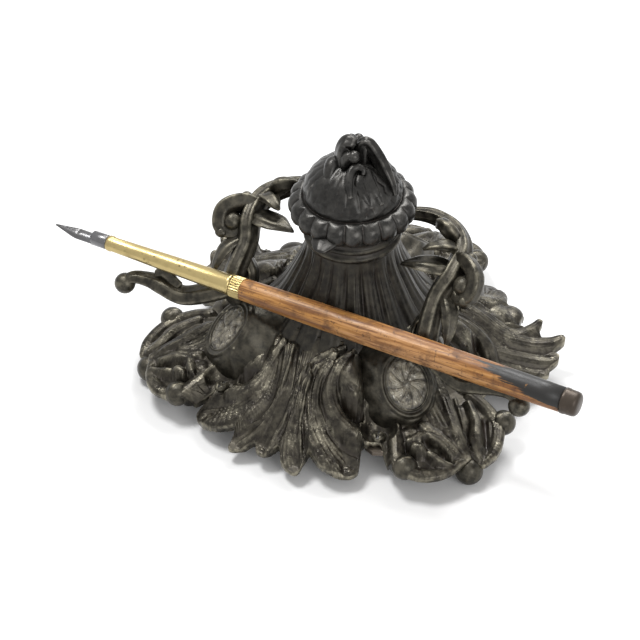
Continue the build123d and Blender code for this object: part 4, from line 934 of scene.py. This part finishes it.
def rosette_relief(name, place):
    """Plaque with a plain swirled rosette: petals, leaflets, a boss and fine veins."""
    bm = lathe([(PLAQUE_EDGE * step / 44, 0) for step in range(45)], turns=160)
    layer = bm.verts.layers.float.new("relief")
    for vert in bm.verts:
        share = hypot(vert.co.x, vert.co.y) / PLAQUE_EDGE
        swirl = np.arctan2(vert.co.y, vert.co.x) + 0.5 * share
        petal = abs(cos(4 * swirl)) ** 0.6 * np.clip(1.15 - abs(share - 0.50) / 0.34, 0, 1)
        leaflet = abs(sin(8 * swirl)) ** 1.2 * np.clip(1.0 - abs(share - 0.84) / 0.13, 0, 1)
        boss = np.clip(1 - (share / 0.17) ** 2, 0, 1) ** 0.5
        vein = 0.16 * cos(40 * swirl) * np.clip(share * 2, 0, 1)
        raised = max(petal, 0.8 * leaflet, boss)
        raised += vein * raised
        vert.co.z = 0.05 + 0.62 * raised * (1 if share < 0.97 else 0.2)
        vert[layer] = float(np.clip(0.05 + 0.95 * raised, 0, 1))
    oval_scale(bm)
    bmesh.ops.transform(bm, matrix=place, verts=bm.verts)
    finished(bm, f"{name}_relief", PLAQUE_METAL, "base", nodes=[f"{name}_plaque"], wall=0.6)


for name, bearing in zip(("right", "left", "back"), MEDALLION_BEARINGS):
    medallion_frame(name, medallion_place(bearing))
    rosette_relief(name, medallion_place(bearing))

# Scroll arms: a ridged stem, a curl, leaves and a hook for the pen, as stations of x, y, z, width and depth
ARM_LIMBS = [
    dict(
        stations=[
            (35.5, -18.3, 35, 9.6, 9), (35.2, -16, 41, 10.4, 8), (34.8, -8.5, 48.5, 9.2, 7.4),
            (37, -1.5, 54, 10.2, 8), (36.4, 7, 57.4, 9.4, 7.4), (30.5, 14.4, 58.9, 7.6, 6.4),
            (22, 17.8, 59.4, 6.2, 5.6), (14.3, 17.0, 59.0, 4.8, 4.6), (12.3, 14.6, 58.8, 4.6, 4.6),
        ],
        up=(1, 0, 0), rings=76, sides=36, ridges=7, groove=0.15,
    ),
    dict(
        stations=[
            (35.5, 3, 56.5, 6, 5), (41, 0.6, 58.2, 8.4, 5.6), (45.6, -3.4, 56.6, 8.6, 6),
            (45.4, -6.8, 52, 7.4, 5.8), (41.8, -7.0, 49.8, 5.6, 5), (39.4, -5.0, 51.2, 4.4, 4.2),
            (40.2, -3.8, 53.4, 3.4, 3.4),
        ],
        up=(0, 1, 0), rings=56, sides=28, ridges=5, groove=0.14,
    ),
    dict(
        stations=[
            (36, 0, 54.5, 6, 5), (31.5, -2.0, 56.4, 10.2, 4.4), (26.0, -3.4, 56.6, 8.6, 3.4),
            (21.5, -4.2, 55.4, 3.4, 2), (19.6, -4.4, 54.6, 1.0, 0.8),
        ],
        ridges=6, groove=0.22, rings=36, sides=28,
    ),
    dict(
        stations=[
            (35.5, -17, 36.5, 10.5, 7.4), (43, -22.5, 34, 9, 6.4), (51, -25, 31.8, 8.2, 6),
            (58, -24.8, 33.2, 8.4, 6.4), (64, -24.5, 33.5, 6.4, 5), (69, -26, 34, 5, 4.2),
            (72.3, -27.2, 31.8, 4.2, 4.2),
        ],
        rings=60, sides=28, ridges=6, groove=0.15,
    ),
    dict(
        stations=[
            (53.5, -24, 33.5, 6, 4), (58.5, -23.3, 37.0, 5.2, 3.4), (61.5, -23.3, 35.4, 4, 3),
        ],
        up=(0, 1, 0), rings=24, ridges=4, groove=0.2,
    ),
    dict(
        stations=[
            (37, -8, 49.5, 4.5, 3), (40.8, -12, 47.0, 6.4, 3), (42.4, -16.4, 42.6, 4.4, 2),
            (42.6, -19.4, 39.4, 1.0, 0.8),
        ],
        rings=30, ridges=5, groove=0.26,
    ),
    dict(
        stations=[
            (35, 6, 58, 5, 4), (32.4, 2.5, 62.0, 7.4, 3.4), (28.6, -0.4, 62.4, 5, 2.2),
            (26.2, -1.6, 61.0, 1.2, 1.0),
        ],
        rings=30, ridges=5, groove=0.26,
    ),
    dict(
        stations=[
            (33, -12, 44, 5, 4), (30.4, -13.2, 40.5, 6.8, 3.4), (29.6, -15.4, 35.6, 5, 2.4),
            (29.8, -16.6, 32.2, 1.4, 1.0),
        ],
        up=(1, 0, 0), rings=30, ridges=5, groove=0.26,
    ),
    dict(
        stations=[
            (33.6, 9.0, 59, 5, 4), (31.0, 8.0, 63.2, 6.6, 4.4), (27.8, 9.6, 63.8, 5.4, 4),
            (26.0, 11.6, 61.4, 3.6, 3),
        ],
        up=(0, 1, 0), rings=30, ridges=5, groove=0.2,
    ),
]
ARM_BEADS = [
    ((72.1, -27.2, 31.2), 3.6), ((42.2, -4.8, 53.4), 3.5), ((41.0, 3.4, 58.4), 2.1),
    ((44.4, -8.6, 50.4), 2.4),
]
SEAT_STATIONS = [
    (35.2, -18.3, 37, 9, 9), (34.2, -17.2, 33.5, 10.5, 10), (31.8, -14.8, 29, 12, 11),
    (29, -12.6, 23, 13, 12),
]
LEFT_DROP = 1.6


def scroll_arm(name, side):
    """One arm, and the seat that it grows from. The left one's curls hang a little lower."""
    arm = bmesh.new()
    for shape in ARM_LIMBS:
        join(arm, limb(mirror=side, **shape))
    for (x, y, z), size in ARM_BEADS:
        join(arm, bead((side * x, y, z), size, detail=26))
    if side < 0:
        for vert in arm.verts:
            above, outside = (vert.co.z - 46) / 8, (-vert.co.x - 20) / 8
            vert.co.z -= LEFT_DROP * np.clip(above, 0, 1) * np.clip(outside, 0, 1)
    finished(arm, f"{name}_scroll_arm", ARM_METAL, "base", nodes=[f"{name}_arm"])
    seat = limb(SEAT_STATIONS, rings=20, sides=28, ridges=7, groove=0.1, mirror=side)
    finished(seat, f"{name}_arm_seat", ARM_METAL, "base", levels=1)


scroll_arm("right", 1)
scroll_arm("left", -1)

# Lid: gadrooned ring and swirled dome, hollow under it, as radius and height
LID_PROFILE = [
    (12.9, LID_BOTTOM), (16.0, LID_BOTTOM), (18.0, LID_BOTTOM + 0.05), (19.4, 66.5), (20.5, 67.4),
    (21.0, 68.6), (21.15, 70.0), (21.0, 71.4), (20.3, 72.8), (19.1, 73.8), (17.7, 74.3), (16.7, 74.3),
    (16.3, 74.0), (16.1, 73.9), (16.0, 74.1), (16.2, 74.7), (16.3, 75.6), (16.2, 76.8), (15.9, 78.2),
    (15.2, 79.8), (14.2, 81.3), (12.9, 82.8), (11.3, 84.1), (9.6, 85.2), (7.8, 86.1), (6.0, 86.8),
    (4.0, 87.3), (1.8, 87.5), (0.0, 87.5),
]
LID_CAVITY = [(0.02, 81.0), (5.0, 80.6), (9.5, 78.0), (12.0, 73.5), (12.7, 69.0), (12.9, LID_BOTTOM)]
GADROON_INNER, GADROON_TOP, GADROON_DEPTH = 16.4, 74.25, 1.7
DOME_BOTTOM, DOME_DEPTH = 74.6, 1.5
HINGE_FLAT = 18.8


def gadrooned_lid():
    """Lid with twenty gadroons, twelve swirled ribs that fade to the back, and a flat for the hinge."""
    bm = lathe(LID_PROFILE, turns=320)
    join(bm, lathe(LID_CAVITY, turns=320))
    bmesh.ops.remove_doubles(bm, verts=bm.verts, dist=0.0005)
    for vert in bm.verts:
        radius, height = hypot(vert.co.x, vert.co.y), vert.co.z
        angle = np.arctan2(vert.co.y, vert.co.x)
        in_cavity = radius < 12.0 and height < 82.2
        if radius > GADROON_INNER and height < GADROON_TOP:
            lobe = abs(sin(10 * angle)) ** 0.55
            press = GADROON_DEPTH * (1 - lobe) * min(1, (radius - GADROON_INNER) / 2.5)
            vert.co.x *= 1 - press / radius
            vert.co.y *= 1 - press / radius
        elif height > DOME_BOTTOM and radius > 2 and not in_cavity:
            twist = angle - 0.085 * (height - DOME_BOTTOM) * (1 + (height - DOME_BOTTOM) / 14)
            lobe = abs(sin(6 * twist)) ** 0.6
            strength = 0.25 + 0.75 * (0.5 + 0.5 * cos(angle - radians(-25))) ** 1.5
            press = DOME_DEPTH * strength * (1 - lobe)
            press *= min(1, (height - DOME_BOTTOM) / 2) * min(1, radius / 6)
            vert.co.x *= 1 - press / radius
            vert.co.y *= 1 - press / radius
            vert.co.z -= 0.5 * press
        if vert.co.y > HINGE_FLAT and abs(vert.co.x) < 7.6 and vert.co.z < 69.8:
            vert.co.y = HINGE_FLAT
    finished(bm, "gadrooned_lid", LID_METAL, "lid", nodes=["lid"])


gadrooned_lid()
TAB_STATIONS = [(0, -17, 68.1, 8.5, 3.6), (0, -21, 68.0, 9.5, 2.8), (0, -24.6, 67.3, 4.5, 1.6)]
tab = limb(TAB_STATIONS, rings=18, ridges=5, groove=0.2)
finished(tab, "thumb_tab", LID_METAL, "lid", levels=1)

# The photograph's sideways direction on the table, and two rounded directions that stems are turned by
VIEW_ACROSS = (0.901, 0.4337)
TO_THE_SIDE = (0.9, 0.43, 0)
TO_THE_FRONT = (0.43, -0.9, 0)


def facing(stations):
    """Turns stations of place across, place forward, height, width and depth into places."""
    x, y = VIEW_ACROSS
    return [(x * a + y * h, y * a - x * h, z, width, depth) for a, h, z, width, depth in stations]


# Finial: a tall rounded leaf with a curl on it, a leaf folded down over the dome, a hump and a rimmed curl
FINIAL_LIMBS = [
    dict(
        stations=facing([
            (-1.0, 0, 82, 9, 8), (-2.4, 0, 87.5, 8.4, 7), (-2.5, -0.4, 91.6, 7.6, 6.4),
            (-1.4, -0.4, 94.4, 6.8, 5), (0.6, 0.8, 94.9, 4.6, 3.4),
        ]),
        up=TO_THE_SIDE, rings=44, sides=32, ridges=5, groove=0.16,
    ),
    dict(
        stations=facing([
            (1.6, -0.6, 82, 8, 7), (2.8, -0.8, 88, 7, 6), (3.6, -0.6, 92.4, 6.2, 5),
            (5.0, 0, 94.0, 5.6, 4), (6.8, 0.8, 91.6, 6.2, 4.2), (8.8, 1.4, 87.6, 6.6, 4.2),
            (10.4, 3.4, 85.0, 6.2, 4), (12.4, 5.9, 81.8, 4.4, 3), (13.6, 7.6, 79.0, 1.4, 1.2),
        ]),
        up=TO_THE_FRONT, rings=64, sides=28, ridges=5, groove=0.2,
    ),
    dict(
        stations=facing([
            (-1.8, 1.8, 84.5, 4.6, 4), (-2.4, 3.2, 88.4, 4.2, 3.6), (-1.6, 3.6, 91.4, 3.8, 3.4),
            (0.0, 3.4, 91.8, 3, 3),
        ]),
        up=TO_THE_FRONT, rings=32, sides=24, ridges=3, groove=0.14,
    ),
    dict(
        stations=facing([
            (-0.6, 13.2, 82.0, 1.6, 1.4), (-1.1, 11, 84.0, 2.4, 2), (-1.1, 8.2, 86.4, 2.8, 2.4),
            (0.0, 6, 88.0, 2.8, 2.4), (1.8, 5.2, 88.5, 2.6, 2.2), (3.4, 5.8, 87.8, 2.2, 2),
            (3.4, 7.0, 86.8, 1.2, 1.0),
        ]),
        rings=44, sides=20,
    ),
    dict(
        stations=facing([
            (2.2, 6.6, 85.8, 3, 2), (2.2, 9.4, 84.2, 3.2, 2), (3.6, 12.0, 81.8, 3.0, 2),
            (6.0, 13.8, 78.4, 1.4, 1.2),
        ]),
        rings=34, sides=20,
    ),
    dict(
        stations=facing([
            (4.6, 4.6, 86.4, 3, 2), (5.4, 7.4, 84.6, 3.4, 2), (7.2, 10.2, 81.8, 3.2, 2),
            (9.4, 12.0, 78.6, 1.4, 1.2),
        ]),
        rings=34, sides=20,
    ),
    dict(
        stations=facing([
            (-3.4, 0, 82.5, 7, 6), (-5.6, 0.2, 85.6, 6.6, 6), (-6.6, 1.4, 86.2, 5.4, 5),
            (-7.6, 3.6, 84.2, 5, 4), (-8.6, 6.4, 81.2, 2.4, 1.6),
        ]),
        up=TO_THE_FRONT, rings=40, sides=28,
    ),
    dict(
        stations=facing([
            (0, -2, 83, 8, 6), (-0.6, -4.6, 87.4, 7, 5), (0.4, -6.4, 90.4, 5.4, 4),
            (1.4, -6.6, 91.6, 3.4, 3),
        ]),
        up=TO_THE_SIDE, rings=32, sides=24, ridges=5, groove=0.18,
    ),
]
FINIAL_BEADS = [((0.4, 3.9, 91.6, 0, 0), 2.05), ((1.9, -6.2, 91.4, 0, 0), 1.9)]


def leaf_finial():
    """The lid's leafy knob."""
    bm = bmesh.new()
    for shape in FINIAL_LIMBS:
        join(bm, limb(**shape))
    for station, size in FINIAL_BEADS:
        join(bm, bead(facing([station])[0][:3], size))
    finished(bm, "leaf_finial", LID_METAL, "lid", nodes=["lid_finial"])


leaf_finial()

# Pen
pen_direction = Vector((1, *PEN_SLOPE)).normalized()
pen_side = pen_direction.cross(Vector((0, 0, 1))).normalized()
pen_place = Matrix((pen_side.cross(pen_direction), pen_side, pen_direction)).transposed().to_4x4()
NIB_LENGTH, NIB_CURL = 15.2, 1.25
# Distance from the nib's tip, and half-width there
NIB_WIDTHS = [(0, 0.16), (1, 0.35), (5, 1.35), (7.5, 2.0), (9.5, 2.3), (NIB_LENGTH, 2.3)]
nib_end = PEN_START + 15
holder_end = nib_end + 6
ferrule_end = holder_end + 48
band_end = ferrule_end + 4.2
handle_end = PEN_END - 5.6


def pen_point(x):
    """The point of the pen's axis at an X."""
    return Vector((x, PEN_AXIS[0] + PEN_SLOPE[0] * x, PEN_AXIS[1] + PEN_SLOPE[1] * x))


def turned(stations, turns=64):
    """A turned piece on the pen's axis through stations of X and radius."""
    bm = lathe([(radius, x - PEN_START) for x, radius in stations], turns=turns)
    place = pen_place.copy()
    place.translation = pen_point(PEN_START)
    stretch = Matrix.Diagonal((1, 1, 1 / pen_direction.x, 1))
    bmesh.ops.transform(bm, matrix=place @ stretch, verts=bm.verts)
    return bm


def from_end(end, *stations):
    """Stations of X and radius from steps beyond an end and radius."""
    return [(end + step, radius) for step, radius in stations]


holder = turned(
    from_end(nib_end, (0, 0.4), (0, 2.2), (0.3, 2.5)) + from_end(holder_end, (-0.4, 2.5), (0, 2.3), (0, 1.2)),
)
finished(holder, "nib_socket", NIB_STEEL, "pen", nodes=["nib_holder"])
ferrule = turned(
    from_end(holder_end, (0, 1.2), (0, 2.45), (0.5, 2.7), (1.6, 2.75), (2.2, 2.5), (12, 2.72), (30, 3.12))
    + from_end(ferrule_end, (-1.4, 3.48), (-1.0, 3.62), (0, 3.62), (0, 2.0)),
)
finished(ferrule, "tapered_ferrule", PEN_BRASS, "pen", nodes=["ferrule"])
band = turned(
    from_end(ferrule_end, (0, 2.0), (0, 3.5), (0.4, 3.78), (2.1, 3.8))
    + from_end(band_end, (-0.4, 3.78), (0, 3.5), (0, 2.0)),
    turns=312,
)
RIB_COUNT, RIB_DEPTH = 26, 0.34
axis_start = pen_point(ferrule_end)
for vert in band.verts:
    off = vert.co - axis_start
    off -= pen_direction * off.dot(pen_direction)
    if off.length > 3.6:
        angle = np.arctan2(off.dot(pen_side), off.z)
        vert.co -= off.normalized() * RIB_DEPTH * (0.5 - 0.5 * cos(RIB_COUNT * angle))
finished(band, "ribbed_band", PEN_BRASS, "pen", nodes=["ferrule_band"])
handle = turned(
    from_end(band_end, (0, 2.0), (0, 3.55), (0.5, 3.74), (12, 3.98), (26, 4.2), (48, 4.4), (70, 4.34))
    + from_end(handle_end, (-8, 4.2), (0, 4.1), (0, 2.0)),
)
finished(handle, "wooden_handle", WOOD, "pen", nodes=["pen_handle"])
cap = turned(
    from_end(handle_end, (0, 2.0), (0, 4.22), (0.4, 4.32), (1.2, 4.3), (1.6, 4.16))
    + from_end(PEN_END, (-1.6, 4.12), (-0.8, 3.9), (-0.25, 3.3), (0, 2.2), (0, 0.02)),
)
finished(cap, "handle_cap", CAP_METAL, "pen", nodes=["pen_cap"])


def split_nib():
    """A rolled steel leaf with a slit and a vent."""
    bm = bmesh.new()
    bmesh.ops.create_grid(bm, x_segments=60, y_segments=20, size=1)
    for vert in bm.verts:
        along, across = (vert.co.x + 1) / 2, vert.co.y
        from_tip = NIB_LENGTH * along
        half = float(np.interp(from_tip, *zip(*NIB_WIDTHS)))
        curl = NIB_CURL * across
        middle = pen_point(PEN_START + 0.25 + 14.95 * along)
        rise = Vector((0, 0, half * (cos(curl) - 0.7)))
        spot = middle + pen_side * (half * sin(curl) / sin(NIB_CURL)) + rise
        slit = along < 0.62 and abs(across) * half < 0.12
        vent = hypot((along - 0.62) * NIB_LENGTH, across * half) < 0.75
        if slit or vent:
            spot.z -= 0.35
        vert.co = spot
    finished(bm, "split_nib", NIB_STEEL, "pen", nodes=["nib"], wall=0.25)


split_nib()


# Floor, light and camera
def seen_directly(tree):
    """1 for the camera's own rays and those that metal and glass send on, 0 for light on the object."""
    path = node(tree, "ShaderNodeLightPath")
    seen = maths(tree, "MAXIMUM", path.outputs["Is Camera Ray"], path.outputs["Is Glossy Ray"])
    return maths(tree, "MAXIMUM", seen, path.outputs["Is Transmission Ray"])


def white_table():
    """White table finish that keeps the shadow and is clear from below."""
    finish, tree, shader = new_finish("white_table")
    shader.inputs["Base Color"].default_value = (0.84, 0.84, 0.84, 1)
    shader.inputs["Roughness"].default_value = 0.9
    shader.inputs["Specular IOR Level"].default_value = 0.1
    glow = node(tree, "ShaderNodeEmission")
    tree.links.new(maths(tree, "MULTIPLY", seen_directly(tree), 0.04), glow.inputs["Strength"])
    both = node(tree, "ShaderNodeAddShader")
    tree.links.new(shader.outputs[0], both.inputs[0])
    tree.links.new(glow.outputs[0], both.inputs[1])
    from_below = node(tree, "ShaderNodeMixShader")
    tree.links.new(node(tree, "ShaderNodeNewGeometry").outputs["Backfacing"], from_below.inputs[0])
    tree.links.new(both.outputs[0], from_below.inputs[1])
    tree.links.new(node(tree, "ShaderNodeBsdfTransparent").outputs[0], from_below.inputs[2])
    tree.links.new(from_below.outputs[0], tree.nodes["Material Output"].inputs["Surface"])
    return finish


def table_top():
    """A plain table under the object."""
    bm = bmesh.new()
    bmesh.ops.create_grid(bm, x_segments=1, y_segments=1, size=3.0)
    mesh = bpy.data.meshes.new("table_top")
    bm.to_mesh(mesh)
    bm.free()
    mesh.materials.append(white_table())
    top = bpy.data.objects.new("table_top", mesh)
    bpy.context.scene.collection.objects.link(top)


def studio():
    """White surroundings that light the object less than they show."""
    world = bpy.data.worlds.new("studio")
    bpy.context.scene.world = world
    world.use_nodes = True
    tree = world.node_tree
    strength = spread(tree, seen_directly(tree), 0, 1, 0.42, 1.0)
    tree.links.new(strength, tree.nodes["Background"].inputs["Strength"])
    tree.nodes["Background"].inputs["Color"].default_value = (1, 1, 1, 1)


def softbox(name, spot, size, power):
    """A square soft light aimed at the object."""
    lamp = bpy.data.lights.new(name, "AREA")
    lamp.shape = "SQUARE"
    lamp.size = size
    lamp.energy = power
    lamp_holder = bpy.data.objects.new(name, lamp)
    bpy.context.scene.collection.objects.link(lamp_holder)
    lamp_holder.location = spot
    lamp_holder.rotation_mode = "QUATERNION"
    lamp_holder.rotation_quaternion = (Vector(spot) - AIM).to_track_quat("Z", "Y")


# The photograph's camera: aim and distance in metres, focal length and centre in the photograph's pixels
AIM = Vector((0, 0, 0.04))
CAMERA_DISTANCE = 0.9
PHOTO_WIDTH, FOCAL_LENGTH, SENSOR_WIDTH = 640, 2700, 36
PHOTO_CENTRE = (352.5, 275.1)
VIEW_BACK = (0.3389, -0.7042, 0.6239)


def photo_camera():
    """Stands the camera where the photograph was taken from."""
    back = Vector(VIEW_BACK).normalized()
    right = Vector((*VIEW_ACROSS, 0)).normalized()
    lens = bpy.data.cameras.new("photo_view")
    lens.sensor_width = SENSOR_WIDTH
    lens.lens = SENSOR_WIDTH * FOCAL_LENGTH / PHOTO_WIDTH
    lens.shift_x = -(PHOTO_CENTRE[0] - PHOTO_WIDTH / 2) / PHOTO_WIDTH
    lens.shift_y = -(PHOTO_WIDTH / 2 - PHOTO_CENTRE[1]) / PHOTO_WIDTH
    lens.clip_start, lens.clip_end = 0.01, 20
    camera = bpy.data.objects.new("photo_view", lens)
    bpy.context.scene.collection.objects.link(camera)
    camera.rotation_mode = "QUATERNION"
    camera.rotation_quaternion = Matrix((right, back.cross(right), back)).transposed().to_quaternion()
    camera.location = AIM + back * CAMERA_DISTANCE
    bpy.context.scene.camera = camera


table_top()
studio()
softbox("key_light", (-0.30, 0.02, 0.80), 0.24, 4.6)
softbox("fill_light", (0.65, -0.45, 0.45), 0.4, 2.2)
softbox("back_light", (0.0, 0.55, 0.70), 0.40, 6.0)
photo_camera()
bpy.context.scene.view_settings.view_transform = "Standard"
